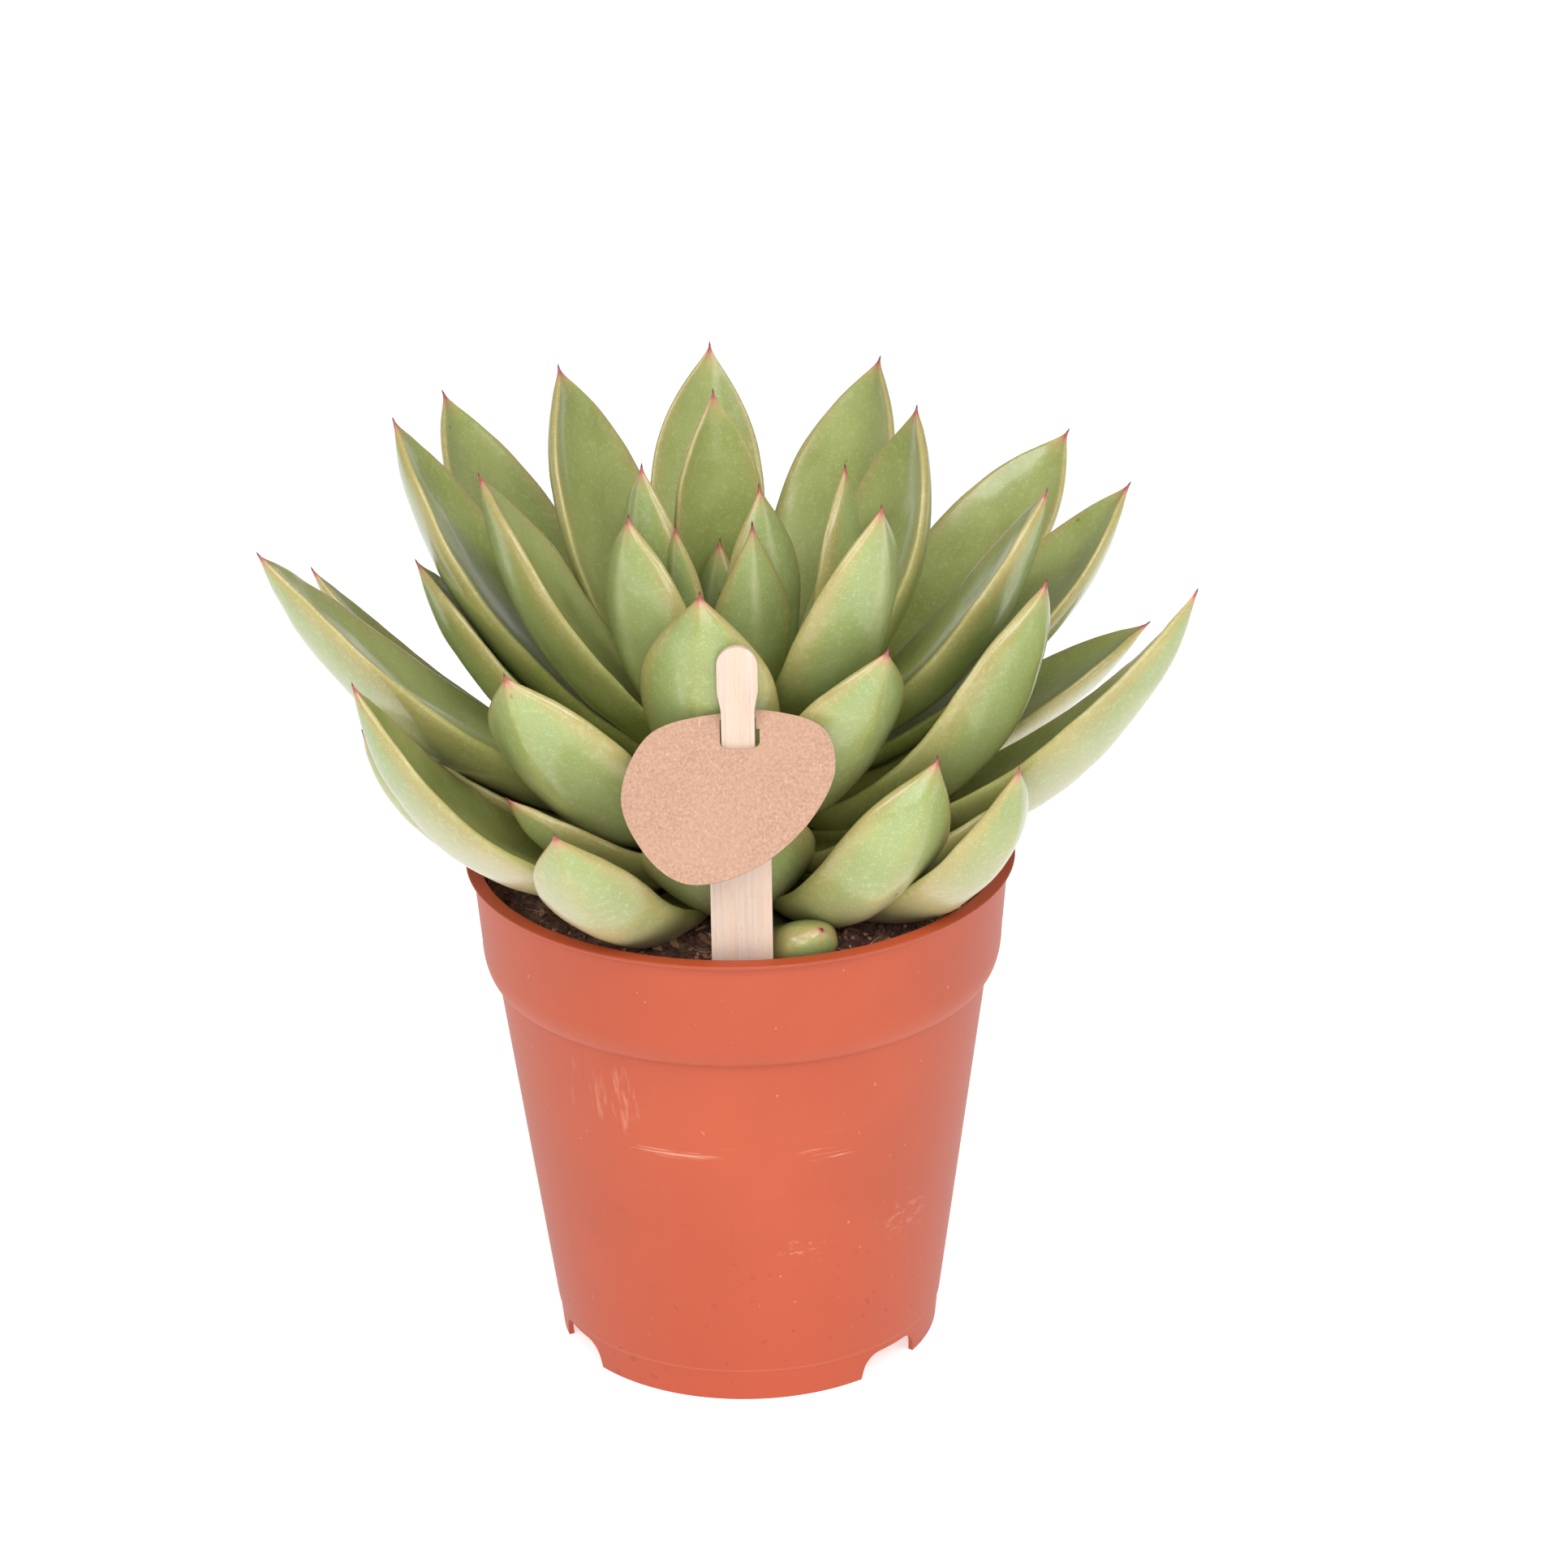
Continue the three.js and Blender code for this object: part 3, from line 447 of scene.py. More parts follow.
LEAVES = [
    dict(tip=(17.4, -50.5, 118.2), wide=15, bend=84, bow=-4.3, blunt=6, plump=2.5, is_round=True),
    dict(tip=(-38, -72, 151), wide=25, bend=79, twist=-20),
    dict(tip=(-80, -27, 156), wide=27, bend=76, bow=-4, twist=-14),
    dict(tip=(10, 68, 146), wide=28, bend=42),
    dict(tip=(59, -55, 157), wide=26, bend=96, bow=3, twist=-5),
    dict(tip=(-5, -48, 147), wide=38, bend=87, bow=2, twist=-16),
    dict(tip=(42, -51, 158), wide=26, bend=108, bow=-8, twist=26),
    dict(tip=(62, 50, 147), wide=29, bend=40),
    dict(tip=(57, -44, 145), wide=27, bend=68),
    dict(tip=(-80, -47, 175), wide=33, bend=80, bow=6, twist=20),
    dict(tip=(-93, 20, 175), wide=27, bend=54, twist=-20),
    dict(tip=(91, 17, 160), wide=27, bend=24, twist=7),
    dict(tip=(-57, 63, 148), wide=30, bend=44),
    dict(tip=(42, -46, 144), wide=23, bend=54, twist=5),
    dict(tip=(-49, -44, 147), wide=26, bend=56, bow=3),
    dict(tip=(97.5, -32, 187), wide=36, bend=66, bow=-1.5, twist=4, blunt=-0.7),
    dict(tip=(-70, -15, 148), wide=26, bend=52),
    dict(tip=(-100.5, -25, 196), wide=37, bend=44),
    dict(tip=(63, 62, 162), wide=30, bend=42, bow=-4),
    dict(tip=(-20, 74, 165), wide=30, bend=40),
    dict(tip=(-48, -53, 179), wide=34, bend=64, bow=2, twist=-15),
    dict(tip=(32, -50, 182), wide=29, bend=50, bow=-3),
    dict(tip=(39, 73, 170), wide=31, bend=40),
    dict(tip=(66, -25, 187), wide=36, bend=79, bow=-6, twist=12),
    dict(tip=(-69, 3, 183), wide=32, bend=40, bow=3, twist=-9),
    dict(tip=(86, 11, 195), wide=31, bend=37, bow=-3, twist=-7),
    dict(tip=(-61, 67, 180), wide=31, bend=40, bow=1),
    dict(tip=(75, 56, 191), wide=30, bend=32, twist=-12),
    dict(tip=(-65, 58, 202), wide=30, bend=34, bow=4, twist=-8),
    dict(tip=(-73, 10, 213), wide=33, bend=40, bow=4),
    dict(tip=(-5, 53, 214), wide=26, bend=35, bow=3, twist=-10),
    dict(tip=(33, 59, 208), wide=31, bend=14, bow=-1, twist=22),
    dict(tip=(9, 66, 162), wide=27, bend=36),
    dict(tip=(-38, 34, 216), wide=33, bend=30, bow=2, twist=-16),
    dict(tip=(67, -8, 201), wide=32, bend=47, bow=-2),
    dict(tip=(-7, -49, 195), wide=30, bend=80, twist=8),
    dict(tip=(-54, -9, 207), wide=35, bend=32, bow=6, twist=9),
    dict(tip=(40, 18, 211), wide=33, bend=38, bow=-5),
    dict(tip=(-4, 8, 219), wide=22, bend=5, bow=1, twist=-5),
    dict(tip=(31, -40, 210), wide=30, bend=52, bow=-1, twist=-15),
    dict(tip=(-22, -22, 202), wide=28, bend=54, bow=1, twist=8),
    dict(tip=(24, 4, 202.8), wide=25, bend=36, bow=-1, twist=22),
    dict(tip=(-19.3, -7, 207.8), wide=19.5, bend=34, twist=-26),
    dict(tip=(5.5, -8, 203.2), wide=20, bend=36, blunt=-0.6),
    dict(tip=(4, -17, 198), wide=17.5, bend=40, blunt=-1),
    dict(tip=(-12.3, -13, 196.2), wide=11.5, bend=34, twist=-12),
    dict(tip=(8.9, -8, 191.8), wide=15, bend=36, blunt=-0.4),
    dict(tip=(-3, -3, 189), wide=14, bend=18),
]

leaf_skin = Finish(
    "waxy leaf",
    {"Specular IOR Level": 0.3, "Coat Weight": 1.0, "Coat Roughness": 0.2, "Subsurface Weight": 0.12,
     "Subsurface Scale": 0.004, "Subsurface Radius": (0.8, 1.0, 0.35)},
)
spot = leaf_skin.place()
side_share = leaf_skin.sum("ABSOLUTE", leaf_skin.written("across"), 0.0)
along, from_tip, upper, below, age = (leaf_skin.written(name) for name in LEAF_NUMBERS[1:])
cloud = leaf_skin.mottle(spot, 55, 3)
fine = leaf_skin.mottle(spot, 700, 3, 0.6)
cells_and_glints = leaf_skin.mottle(spot, 3200, 1)
flesh = leaf_skin.tint(leaf_skin.grade(cloud, 0.3, 0.7), colour(140, 150, 78), colour(158, 166, 96))
bloom = leaf_skin.grade(side_share, 0.02, 0.3) * leaf_skin.grade(side_share, 0.95, 0.5)
bloom = bloom * leaf_skin.grade(along + 0.3 * cloud, 0.25, 0.75) * leaf_skin.grade(upper, 0.2, -0.2)
flesh = leaf_skin.tint(bloom * 0.5, flesh, colour(146, 164, 108))
# painted shade: towards the root the skin turns a saturated olive, like the green-lit shade between the
# leaves
shaded = leaf_skin.grade(along + 0.2 * cloud, 0.72, 0.2)
flesh = leaf_skin.tint(shaded * 0.6, flesh, colour(146, 154, 56))
# painted shade: a brownish olive on the upper face near the root, where the crowded leaves shade it
hollow_shade = shaded * leaf_skin.grade(upper, -0.2, 0.2)
flesh = leaf_skin.tint(hollow_shade * 0.45, flesh, colour(140, 120, 50))
# painted light: a creamy tint where the older leaves' skin faces down towards the bright white table
table_bounce = leaf_skin.grade(below + 0.25 * cloud + 0.15 * fine, 0.76, 1.2) * leaf_skin.grade(age, 0.25, 0.85)
flesh = leaf_skin.tint(table_bounce * 0.75, flesh, colour(178, 164, 124))
pale_rim = leaf_skin.grade(side_share + 0.1 * cloud, 0.7, 1.04)
flesh = leaf_skin.tint(pale_rim * 0.12, flesh, colour(164, 164, 88))
peach_rim = leaf_skin.grade(side_share + 0.06 * cloud, 0.72, 1.04) * leaf_skin.grade(along, 0.3, 0.8)
flesh = leaf_skin.tint(peach_rim * 0.42, flesh, colour(184, 146, 102))
# painted highlight: a pale sheen streak along the keels of the young leaves, towards their tips
keel_sheen = leaf_skin.grade(side_share, 0.24, 0.0) * leaf_skin.grade(upper, 0.1, -0.3)
keel_sheen = keel_sheen * leaf_skin.grade(along + 0.2 * cloud, 0.55, 0.9) * leaf_skin.grade(age, 0.2, 0.06)
flesh = leaf_skin.tint(keel_sheen * 0.3, flesh, colour(206, 212, 182))
flesh = leaf_skin.tint(leaf_skin.grade(fine, 0.5, 0.7) * 0.14, flesh, colour(206, 214, 168))
# painted glints: tiny pale specks where the skin's cells sparkle in the light; the same noise also bumps
# the skin
flesh = leaf_skin.tint(leaf_skin.grade(cells_and_glints, 0.62, 0.74) * 0.3, flesh, colour(222, 228, 196))
marks = leaf_skin.grade(leaf_skin.mottle(spot, 420, 0), 0.118, 0.1)
flesh = leaf_skin.tint(marks * 0.6, flesh, colour(124, 98, 56))
flesh = leaf_skin.tint(leaf_skin.grade(from_tip, 8.0, 2.0) * 0.35, flesh, colour(190, 154, 102))
flesh = leaf_skin.tint(leaf_skin.grade(from_tip, 3.8, 1.0) * 0.65, flesh, colour(190, 118, 100))
flesh = leaf_skin.tint(leaf_skin.grade(from_tip, 1.9, 0.4) * 0.85, flesh, colour(156, 50, 66))
flesh = leaf_skin.tint(leaf_skin.grade(from_tip, 0.1, -0.5), flesh, colour(96, 24, 40))
leaf_skin.feed("Base Color", flesh)
leaf_skin.feed("Roughness", 0.42 + 0.12 * cloud + 0.1 * fine)
leaf_skin.relief(0.6 * cells_and_glints + fine, 0.22, 0.15)


def stem_radius(height):
    up = min(max((height - STEM_SHOULDER) / (STEM_TOP - STEM_SHOULDER), 0), 1)
    return STEM_RADIUS + (STEM_TOP_RADIUS - STEM_RADIUS) * up


def width_share(t, blunt):
    """A leaf's width as a share of its greatest, where t goes from 0 at the root to 1 at the tip."""
    if t < LEAF_WIDEST:
        return ROOT_WIDTH + (1 - ROOT_WIDTH) * math.sin(math.pi / 2 * t / LEAF_WIDEST) ** WIDENING
    return 1 - min((t - LEAF_WIDEST) / (1 - LEAF_WIDEST), 1) ** (TIP_FULLNESS + blunt)


def depth_share(t, blunt):
    """A leaf's depth in the same way: it is deepest halfway along."""
    if t < 0.5:
        return ROOT_DEPTH + (1 - ROOT_DEPTH) * math.sin(math.pi * t) ** DEEPENING
    return max(1 - (2 * t - 1) ** (2 + blunt), 0) ** THINNING


def middle_line(leaf, root_height, root_radius):
    """A leaf's length, and the function that gives its middle line's place and directions on the way."""
    tip, bend = Vector(leaf["tip"]), math.radians(leaf["bend"])
    bow, twist = leaf.get("bow", 0), math.radians(leaf.get("twist", 0))
    start = root_radius + ROOT_OFFSET
    reach, rise = math.hypot(tip.x, tip.y) - start, tip.z - root_height
    length = math.hypot(reach, rise) * (bend / 2) / math.sin(bend / 2)
    first = math.atan2(rise, reach) - bend / 2
    heading = math.atan2(tip.y, tip.x)
    outward = Vector((math.cos(heading), math.sin(heading), 0))
    sideways = Vector((-math.sin(heading), math.cos(heading), 0))
    upward = Vector((0, 0, 1))

    def passes(gone, t):
        slope = first + bend * gone / length
        out = start + length / bend * (math.sin(slope) - math.sin(first))
        high = root_height - length / bend * (math.cos(slope) - math.cos(first))
        forward = outward * math.cos(slope) + upward * math.sin(slope)
        forward = (forward + sideways * (4 * bow * (1 - 2 * t) / length)).normalized()
        inward = upward * math.cos(slope) - outward * math.sin(slope)
        right = forward.cross(inward).normalized()
        inward = right.cross(forward)
        turn = Matrix.Rotation(-twist * t, 3, forward)
        centre = outward * out + upward * high + sideways * (4 * bow * t * (1 - t))
        return centre, turn @ right, turn @ inward

    return length, passes


def section(across, half, depth, t, is_round):
    """How high a leaf's upper skin, under skin and edge stand over its middle line."""
    cupping, crown, belly = ROUND_SECTION if is_round else (LEAF_CUP, LEAF_CROWN, LEAF_BELLY)
    top_drop, under_drop = ROUND_DROPS if is_round else LEAF_DROPS
    keel = 2 if is_round else KEEL_AT_ROOT + (KEEL_AT_TIP - KEEL_AT_ROOT) * t
    round_rim = max(min(RIM_ROUNDING, half / 2, RIM_SHARE * depth), 0.001)
    top_swell, under_swell = max(crown * depth - round_rim, 0), max(belly * depth - round_rim, 0)
    margin = min(abs(across), 1)
    ridge = math.sqrt(margin ** 2 + KEEL_SOFT ** 2) - KEEL_SOFT
    ridge = min(ridge / (math.sqrt(1 + KEEL_SOFT ** 2) - KEEL_SOFT), 1)
    inset = max((margin * half - (half - round_rim)) / round_rim, 0)
    rounding = round_rim * math.sqrt(max(1 - inset ** 2, 0))
    cup = cupping * half * margin ** 2
    top = cup + top_swell * (1 - margin ** 2) ** top_drop + rounding
    under = cup - under_swell * (1 - ridge ** keel) ** under_drop - rounding
    return top, under, cup


def grown(body, leaf, root_height, root_radius, seed, age):
    """Adds a leaf to a bmesh: a ball whose rings are laid along the middle line, each shaped into a
    boat-like or a round section with a rounded rim, with slow dents as a real leaf has."""
    is_round, blunt = leaf.get("is_round", False), leaf.get("blunt", 0)
    tip, wide, plump = Vector(leaf["tip"]), leaf["wide"], leaf.get("plump", 1)
    point = POINT_LENGTH * (ROUND_POINT if is_round else 1)
    length, middle = middle_line(leaf, root_height, root_radius)
    for name in LEAF_NUMBERS:
        if body.verts.layers.float.get(name) is None:
            body.verts.layers.float.new(name)
    ball = bmesh.ops.create_uvsphere(body, u_segments=LEAF_SPOKES, v_segments=LEAF_RINGS, radius=1)["verts"]
    layer = {name: body.verts.layers.float.get(name) for name in LEAF_NUMBERS}
    rings = {}
    for vert in ball:
        ring = round(math.acos(min(max(vert.co.z, -1), 1)) * LEAF_RINGS / math.pi)
        rings.setdefault(ring, []).append(vert)
    for ring, verts in rings.items():
        share = max(1 - ring / (LEAF_RINGS - 1), 0)
        gone = (1 - (1 - share) ** RING_CROWDING) * length
        from_tip = length - point - gone
        t = min(gone / (length - point), 1)
        centre, right, inward = middle(gone, t)
        pinch = 0 if is_round else TIP_PINCH * math.exp(-max(from_tip, 0) / PINCH_LENGTH)
        wave = 1 + EDGE_WAVE * noise.noise(Vector((gone / WAVE_LENGTH, seed, 0)))
        spine = POINT_THICKNESS * min(max((from_tip + point) / point, 0), 1) ** POINT_TAPER
        half = math.hypot(wide / 2 * width_share(t, blunt) * (1 - pinch) * wave, spine)
        depth = LEAF_DEPTH * wide * plump * depth_share(t, blunt) * (1 - pinch)
        depth = math.hypot(depth, POINT_DEPTH * spine)
        is_pole = ring in (0, LEAF_RINGS)
        for vert in verts:
            aside = math.cos(math.atan2(vert.co.y, vert.co.x))
            sign = 0 if is_pole else math.sin(math.atan2(vert.co.y, vert.co.x))
            across = 0 if is_pole else math.copysign(abs(aside) ** SPOKE_CROWDING, aside)
            top, under, cup = section(across, half, depth, t, is_round)
            if is_pole:
                lift = 0 if ring == 0 else (top + under) / 2
            else:
                lift = top if sign > 1e-6 else under if sign < -1e-6 else cup
            dents = sum(
                deep * noise.noise(Vector((gone / long, across * half / broad, seed + shift)))
                for deep, long, broad, shift in DENTS
            )
            lift += dents * min(depth / DENTED_DEPTH, 1)
            vert.co = (centre + right * (across * half) + inward * lift) * MM
            vert[layer["across"]], vert[layer["along"]] = across, t
            vert[layer["upper"]], vert[layer["age"]] = sign, age
            vert[layer["from_tip"]] = from_tip
    body.normal_update()
    bmesh.ops.recalc_face_normals(body, faces=list({face for vert in ball for face in vert.link_faces}))
    body.normal_update()
    for vert in ball:
        vert[layer["below"]] = 0.5 - 0.5 * vert.normal.z
        if vert[layer["from_tip"]] > 0:
            short_of = point - (ROUND_TIP_GAP if is_round else 0)
            vert[layer["from_tip"]] = (vert.co / MM - tip).length - short_of


for number, leaf in enumerate(LEAVES):
    root_height = LOWEST_ROOT + (HIGHEST_ROOT - LOWEST_ROOT) * number / (len(LEAVES) - 1)
    leaf_body = bmesh.new()
    leaf_age = ROUND_LEAF_AGE if leaf.get("is_round") else min(max(OLDEST - number / AGEING, YOUNGEST), 1)
    grown(leaf_body, leaf, root_height, stem_radius(root_height), LEAF_NOISE_STEP * number, leaf_age)
    name = f"leaf_{number + 1:02d}"
    finished("waxy_" + name, leaf_body, leaf_skin, [name], 180)

# Stem and heart
# The short fleshy stem that all the leaves grow from, and at its top the folded heart of the
# youngest leaves, which stand round each other at the golden angle.

STEM_BOTTOM, STEM_ROUNDING = 92.0, 2.0
HEART_LEAVES, HEART_REACH, HEART_HEIGHT, HEART_WIDTH, HEART_STEP = 5, 5.0, 180.0, 11.0, 7.0
HEART_HEADING, GOLDEN_ANGLE, HEART_ROOT, HEART_BEND = 97.0, 137.5, 5.0, 14.0
HEART_NOISE = 200  # where in the noise the heart leaves' dents begin
STEM_SIDES, STEM_DOME = 48, 1.3
# What the leaf skin's shader reads on the stem: as old as the lower leaves, and far from any tip.
STEM_SKIN = {"along": 0.1, "from_tip": 40.0, "below": 0.6, "age": 0.7}

stem_outline = [
    (0, STEM_BOTTOM),
    (STEM_RADIUS - STEM_ROUNDING, STEM_BOTTOM),
    (STEM_RADIUS, STEM_BOTTOM + 2 * STEM_ROUNDING),
    (STEM_RADIUS, STEM_SHOULDER),
    (STEM_TOP_RADIUS, STEM_TOP),
    (STEM_TOP_RADIUS / 2, STEM_TOP + STEM_ROUNDING),
    (0, STEM_TOP + STEM_DOME * STEM_ROUNDING),
]
stem_body = turned(stem_outline, STEM_SIDES)
for name, value in STEM_SKIN.items():
    stem_layer = stem_body.verts.layers.float.new(name)
    for vert in stem_body.verts:
        vert[stem_layer] = value
for number in range(HEART_LEAVES):
    size = 1 - number / (HEART_LEAVES + 1)
    heading = math.radians(HEART_HEADING + GOLDEN_ANGLE * number)
    reach = HEART_REACH * size
    young = dict(
        tip=(reach * math.cos(heading), reach * math.sin(heading), HEART_HEIGHT - HEART_STEP * number),
        wide=HEART_WIDTH * (1 + size) / 2, bend=HEART_BEND,
    )
    grown(stem_body, young, STEM_TOP - HEART_ROOT, ROOT_OFFSET, HEART_NOISE + number, 0.0)
finished("stem_and_heart_leaves", stem_body, leaf_skin, ["stem_and_heart"], 180)

# Birch stick
# A flat stick of pale birch, punched out of veneer with the grain running up it: a straight blade
# pushed into the peat in front of the plant, a narrow neck for the card and a rounded head.

STICK_THICKNESS, STICK_FRONT, STICK_MIDDLE = 1.6, -54.2, 0.4
STICK_BOTTOM, STICK_TOP, POINT_WIDTH, POINT_HEIGHT = 92.6, 184.2, 4.0, 6.0
BLADE_WIDTH, BLADE_TOP, NECK_WIDTH, NECK_BOTTOM = 13.0, 151.0, 7.0, 159.0
NECK_TOP, HEAD_WIDTH, HEAD_BOTTOM = 169.0, 8.6, 175.0
STICK_STEPS, STICK_CROWDING = 150, 1.6  # the steps up its edge stand closer towards the round head
STICK_CHAMFER = 0.14


def eased(low, high, share):
    share = min(max(share, 0), 1)
    return low + (high - low) * share * share * (3 - 2 * share)


def stick_width(height):
    """The stick's width at a height, in millimetres."""
    if height < STICK_BOTTOM + POINT_HEIGHT:
        return POINT_WIDTH + (BLADE_WIDTH - POINT_WIDTH) * (height - STICK_BOTTOM) / POINT_HEIGHT
    if height < NECK_BOTTOM:
        return eased(BLADE_WIDTH, NECK_WIDTH, (height - BLADE_TOP) / (NECK_BOTTOM - BLADE_TOP))
    if height < HEAD_BOTTOM:
        return eased(NECK_WIDTH, HEAD_WIDTH, (height - NECK_TOP) / (HEAD_BOTTOM - NECK_TOP))
    above = max(height - (STICK_TOP - HEAD_WIDTH / 2), 0)
    return 2 * math.sqrt(max((HEAD_WIDTH / 2) ** 2 - above ** 2, 0))


birch = Finish("birch veneer", {"Roughness": 0.7, "Specular IOR Level": 0.3})
streaks = birch.mottle(birch.place((1500, 1500, 42)), 1, 4, 0.6)
pores = birch.mottle(birch.place((3400, 3400, 420)), 1, 2, 0.6)
bands = birch.mottle(birch.place((260, 260, 9)), 1, 2)
wood = birch.tint(birch.grade(streaks, 0.3, 0.72), colour(210, 190, 176), colour(200, 176, 160))
wood = birch.tint(birch.grade(bands, 0.35, 0.7) * 0.4, wood, colour(216, 186, 162))
wood = birch.tint(birch.grade(pores, 0.6, 0.76) * 0.4, wood, colour(170, 132, 106))
birch.feed("Base Color", wood)
birch.feed("Roughness", 0.6 + 0.25 * streaks)
birch.relief(streaks + 0.6 * pores, 0.35, 0.12)


def cut_out(rim, front, thickness, chamfer):
    """A front-view outline in millimetres, thickened backwards from front, with its edges eased."""
    blank = bmesh.new()
    sheet = blank.faces.new([blank.verts.new((x * MM, front * MM, z * MM)) for x, z in rim])
    pulled = bmesh.ops.extrude_face_region(blank, geom=[sheet])["geom"]
    ends = [vert for vert in pulled if isinstance(vert, bmesh.types.BMVert)]
    bmesh.ops.translate(blank, verts=ends, vec=(0, thickness * MM, 0))
    bmesh.ops.recalc_face_normals(blank, faces=blank.faces)
    edges = [edge for edge in blank.edges if any(len(face.verts) > 4 for face in edge.link_faces)]
    bmesh.ops.bevel(
        blank, geom=edges, affect="EDGES", offset=chamfer * MM, segments=2, profile=0.5, material=-1,
        clamp_overlap=True,
    )
    return blank


heights = [STICK_BOTTOM + (STICK_TOP - STICK_BOTTOM) * (1 - (1 - step / STICK_STEPS) ** STICK_CROWDING)
           for step in range(STICK_STEPS + 1)]
right_rim = [(STICK_MIDDLE + stick_width(z) / 2, z) for z in heights[:-1]]
left_rim = [(2 * STICK_MIDDLE - x, z) for x, z in reversed(right_rim)]
stick_rim = [*right_rim, (STICK_MIDDLE, STICK_TOP), *left_rim]
stick_body = cut_out(stick_rim, STICK_FRONT, STICK_THICKNESS, STICK_CHAMFER)
finished("birch_stick", stick_body, birch, ["label_stick"], 50)

# Card tag
# A plain tag die-cut from recycled brown card. The stick's neck passes through a slit near the tag's
# top, and the tag leans back on it.

CARD_THICKNESS, CARD_TILT, CARD_CROSSING = 0.8, 28.0, 164.4
CARD_RIM = [(-24.2, -13.4), (-18.2, 0.1), (-3, 4.4), (8, 4.6), (18.4, 0.7), (20.5, -7.7),
            (15.6, -17.8), (6.5, -26.3), (-3.9, -30.8), (-11.8, -30.9), (-18.7, -25.7)]
CARD_POINTS = 14
CARD_EDGE, SHARP = 0.32, 1.2  # the cut edge's rounding, and the angle in radians from which an edge gets it
# painted shade on the card's cut edge: its darker card colour, darkened fully where the edge faces down
EDGE_FADE, UPPER_EDGE_SHADE = 1.2, 0.3  # the cut edge is dark, and less so where it faces upwards
SLIT_PLAY, SLIT_CORNER, SLOT_RIGHT, SLOT_TOP = 0.2, 1.6, 4.9, 1.0

kraft = Finish("brown card", {"Roughness": 0.85, "Specular IOR Level": 0.25})
spot = kraft.place()
pulp = kraft.mottle(spot, 1700, 4, 0.7)
flecks = kraft.mottle(kraft.place((1900, 1900, 1100)), 1, 2, 0.6)
paper = kraft.tint(kraft.grade(pulp, 0.32, 0.68), colour(166, 130, 109), colour(191, 154, 132))
paper = kraft.tint(kraft.grade(flecks, 0.62, 0.74) * 0.6, paper, colour(216, 186, 166))
paper = kraft.tint(kraft.grade(flecks, 0.36, 0.28) * 0.5, paper, colour(132, 94, 72))
paper = kraft.tint(kraft.grade(kraft.mottle(spot, 60, 2), 0.4, 0.7) * 0.3, paper, colour(188, 148, 124))
# the cut edge's own darker colour with painted shade, strongest where the edge faces down
cut_edge_and_shade = kraft.written("cut_edge_and_shade")
paper = kraft.tint(cut_edge_and_shade * 0.9, paper, colour(104, 68, 54))
kraft.feed("Base Color", paper)
kraft.feed("Roughness", 0.78 + 0.2 * pulp)
kraft.relief(pulp + 0.5 * flecks, 0.4, 0.1)


def smooth_loop(corners, steps):
    """Even points on a closed centripetal Catmull-Rom curve through the corners."""
    points = []
    count = len(corners)
    for index in range(count):
        before, first, second, after = (Vector(corners[(index + shift) % count]) for shift in (-1, 0, 1, 2))
        spans = [(b - a).length ** 0.5 for a, b in ((before, first), (first, second), (second, after))]
        lean_in = ((first - before) / spans[0] - (second - before) / (spans[0] + spans[1])
                   + (second - first) / spans[1]) * spans[1]
        lean_out = ((second - first) / spans[1] - (after - first) / (spans[1] + spans[2])
                    + (after - second) / spans[2]) * spans[1]
        for step in range(steps):
            t = step / steps
            points.append(first * (2 * t ** 3 - 3 * t ** 2 + 1) + lean_in * (t ** 3 - 2 * t ** 2 + t)
                          + second * (3 * t ** 2 - 2 * t ** 3) + lean_out * (t ** 3 - t ** 2))
    return points


def bent(start, corner, end, steps=8):
    """Points on a bend that leaves start towards the corner and comes to end from it."""
    shares = [step / steps for step in range(steps + 1)]
    return [tuple((1 - share) ** 2 * a + 2 * share * (1 - share) * b + share ** 2 * c
                  for a, b, c in zip(start, corner, end)) for share in shares]


tilt = math.radians(CARD_TILT)
reach = (STICK_THICKNESS / 2 + CARD_THICKNESS / 2 * math.cos(tilt) + GAP) / math.sin(tilt)
neck_left, neck_right = (STICK_MIDDLE + side * (NECK_WIDTH / 2 + GAP) for side in (-1, 1))
slit_bottom = -reach - SLIT_PLAY
slit_foot = (STICK_MIDDLE, slit_bottom)
slit_rim = [
    (neck_left, reach),
    *bent((neck_left, slit_bottom + SLIT_CORNER), (neck_left, slit_bottom), slit_foot),
    *bent(slit_foot, (SLOT_RIGHT, slit_bottom), (SLOT_RIGHT, slit_bottom + SLIT_CORNER))[1:],
    (SLOT_RIGHT, SLOT_TOP),
    (neck_right, SLOT_TOP),
    (neck_right, reach),
]
card_body = bmesh.new()
for rim_points in (smooth_loop(CARD_RIM, CARD_POINTS), slit_rim):
    corners = [card_body.verts.new((x * MM, -CARD_THICKNESS / 2 * MM, z * MM)) for x, z in rim_points]
    for pair in zip(corners, [*corners[1:], corners[0]]):
        card_body.edges.new(pair)
bmesh.ops.triangle_fill(card_body, use_beauty=True, use_dissolve=False, edges=card_body.edges)
pulled = bmesh.ops.extrude_face_region(card_body, geom=list(card_body.faces))["geom"]
back_side = [vert for vert in pulled if isinstance(vert, bmesh.types.BMVert)]
bmesh.ops.translate(card_body, verts=back_side, vec=(0, CARD_THICKNESS * MM, 0))
bmesh.ops.recalc_face_normals(card_body, faces=card_body.faces)
edge_layer = card_body.verts.layers.float.new("cut_edge_and_shade")
card_body.normal_update()
rim_edges = [edge for edge in card_body.edges if edge.calc_face_angle(0) > SHARP]
bmesh.ops.bevel(
    card_body, geom=rim_edges, affect="EDGES", offset=CARD_EDGE * MM, segments=3, profile=0.5, material=-1,
    clamp_overlap=True,
)
card_body.normal_update()
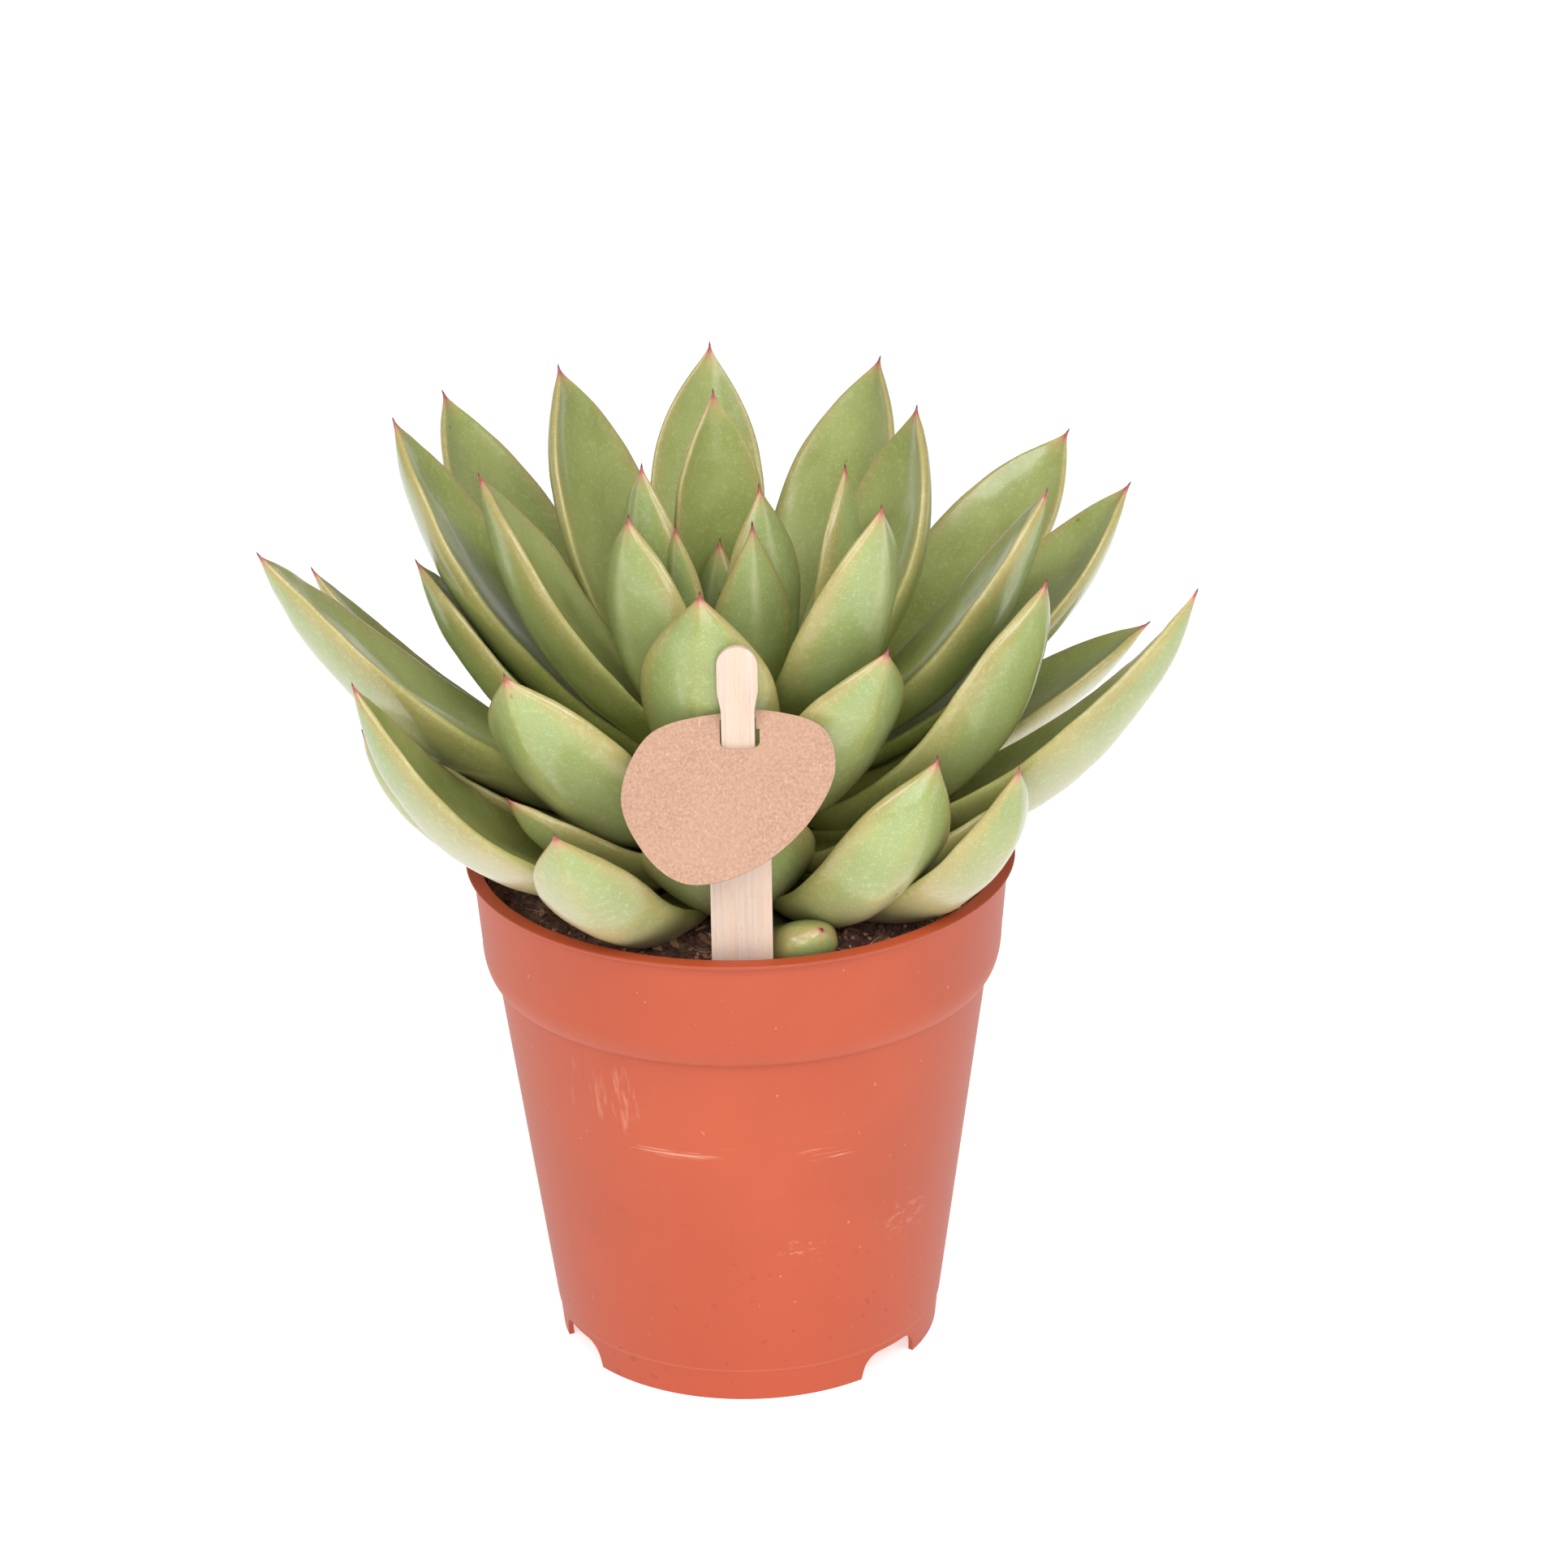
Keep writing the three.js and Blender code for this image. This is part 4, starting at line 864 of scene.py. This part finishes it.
for vert in card_body.verts:
    turned_away = 1 - min(abs(vert.normal.y) * EDGE_FADE, 1)
    vert[edge_layer] = turned_away * (UPPER_EDGE_SHADE if vert.normal.z > 0 else 1)
lean = Matrix.Rotation(-tilt, 3, "X")
bmesh.ops.rotate(card_body, verts=card_body.verts, cent=(0, 0, 0), matrix=lean)
middle = Vector((0, STICK_FRONT + STICK_THICKNESS / 2, CARD_CROSSING))
bmesh.ops.translate(card_body, verts=card_body.verts, vec=middle * MM)
finished("card_tag", card_body, kraft, ["label_card"], 35)

# Seedling
# A self-sown seedling at the pot's edge, with a hair-thin stem that arches up out of the peat and
# outwards to two round seed leaves beside the lip.

SEEDLING_FOOT, SEEDLING_TOP = Vector((42.2, -27, 105)), Vector((46.6, -29, 113.6))
SEEDLING_STEM_RADIUS, SEEDLING_TAPER = 0.4, 0.35
SEED_LEAF, SEED_LEAF_TILT, SEED_LEAF_CURL = Vector((1.1, 0.9, 0.45)), 25, 0.3
BLUNTNESS = 6  # how quickly the stem comes to its full thickness from its ends

sprout = Finish("seedling green", {"Roughness": 0.45, "Subsurface Weight": 0.2, "Subsurface Scale": 0.001})
spot = sprout.place()
freshness = sprout.grade(sprout.mottle(spot, 900, 3), 0.35, 0.65)
fresh = sprout.tint(freshness, colour(140, 176, 62), colour(176, 202, 84))
foot = sprout.grade(sprout.part(spot, "Z"), 0.110, 0.106)
sprout.feed("Base Color", sprout.tint(foot * 0.6, fresh, colour(176, 160, 104)))
sprout.relief(sprout.mottle(spot, 3000, 2), 0.2, 0.05)

seedling_body = bmesh.new()
bulge = Vector((SEEDLING_FOOT.x, SEEDLING_FOOT.y, SEEDLING_TOP.z))
for vert in bmesh.ops.create_uvsphere(seedling_body, u_segments=14, v_segments=40, radius=1)["verts"]:
    t = math.acos(min(max(-vert.co.z, -1), 1)) / math.pi
    centre = SEEDLING_FOOT * (1 - t) ** 2 + bulge * (2 * t * (1 - t)) + SEEDLING_TOP * t ** 2
    forward = ((bulge - SEEDLING_FOOT) * (1 - t) + (SEEDLING_TOP - bulge) * t).normalized()
    side = forward.cross(Vector((0, 1, 0))).normalized()
    thick = SEEDLING_STEM_RADIUS * (1.0 - SEEDLING_TAPER * t)
    off = Vector((vert.co.x, vert.co.y, 0))
    off = off.normalized() * min(off.length * BLUNTNESS, 1) if off.length > 1e-6 else off
    vert.co = (centre + (side * off.x + forward.cross(side) * off.y) * thick) * MM
for side in (-1, 1):
    seed_leaf = bmesh.ops.create_uvsphere(seedling_body, u_segments=24, v_segments=16, radius=MM)["verts"]
    for vert in seed_leaf:
        vert.co.z += SEED_LEAF_CURL * MM * (vert.co.x / MM) ** 2
    bmesh.ops.scale(seedling_body, verts=seed_leaf, vec=SEED_LEAF)
    droop = Matrix.Rotation(math.radians(side * SEED_LEAF_TILT), 3, "Y")
    bmesh.ops.rotate(seedling_body, verts=seed_leaf, cent=(0, 0, 0), matrix=droop)
    place = SEEDLING_TOP + Vector((side * SEED_LEAF.z / 2, 0, -side * SEED_LEAF.y))
    bmesh.ops.translate(seedling_body, verts=seed_leaf, vec=place * MM)
bmesh.ops.recalc_face_normals(seedling_body, faces=seedling_body.faces)
finished("seedling_sprout", seedling_body, sprout, ["seedling"], 180)

# Studio table
# A white table lit from within and white surroundings, a large softbox behind the camera, one on each
# side and one overhead, and a long lens that looks down on the plant.

AIM = Vector((0.00927, 0, 0.1298))
ELEVATION, ROLL, DISTANCE = math.radians(23.4), math.radians(-0.98), 1.3
FOCAL_PIXELS, FRAME_HEIGHT, SENSOR = 7320, 1932, 36
TABLE_REACH = 6

table_top = bmesh.new()
bmesh.ops.create_grid(table_top, x_segments=1, y_segments=1, size=TABLE_REACH)
table_mesh = bpy.data.meshes.new("table")
table_top.to_mesh(table_mesh)
table_top.free()
table = bpy.data.objects.new("table", table_mesh)
bpy.context.collection.objects.link(table)
white = Finish(
    "white table",
    {"Base Color": colour(228, 228, 227), "Roughness": 0.6, "Emission Color": colour(255, 255, 255),
     "Emission Strength": 0.6},
)
table_mesh.materials.append(white.material)

for name, place, size, power in (
    ("softbox_front", (0.0, -1.9, 0.9), 1.2, 16),
    ("softbox_left", (-1.0, -1.1, 1.5), 0.9, 15),
    ("softbox_right", (1.0, -1.0, 1.35), 0.8, 12.5),
    ("softbox_above", (0.1, -0.9, 1.8), 0.8, 8),
):
    lamp = bpy.data.lights.new(name, "AREA")
    lamp.size, lamp.energy = size, power
    softbox = bpy.data.objects.new(name, lamp)
    softbox.location = place
    softbox.rotation_mode = "QUATERNION"
    softbox.rotation_quaternion = (Vector(place) - AIM).to_track_quat("Z", "Y")
    bpy.context.collection.objects.link(softbox)
room = bpy.data.worlds.new("white room")
room.use_nodes = True
walls = room.node_tree.nodes["Background"]
walls.inputs["Color"].default_value = colour(250, 250, 250)
walls.inputs["Strength"].default_value = 0.29
bpy.context.scene.world = room
bpy.context.scene.view_settings.view_transform = "Standard"

towards = Vector((0, -math.cos(ELEVATION), math.sin(ELEVATION)))
level = Vector((1, 0, 0))
upright = towards.cross(level)
right_axis = level * math.cos(ROLL) + upright * math.sin(ROLL)
up_axis = upright * math.cos(ROLL) - level * math.sin(ROLL)
lens = bpy.data.cameras.new("camera")
lens.lens, lens.sensor_width = FOCAL_PIXELS * SENSOR / FRAME_HEIGHT, SENSOR
lens.clip_start, lens.clip_end = 0.1, 30
camera = bpy.data.objects.new("camera", lens)
camera.matrix_world = Matrix((right_axis, up_axis, towards)).transposed().to_4x4()
camera.location = AIM + towards * DISTANCE
bpy.context.collection.objects.link(camera)
bpy.context.scene.camera = camera
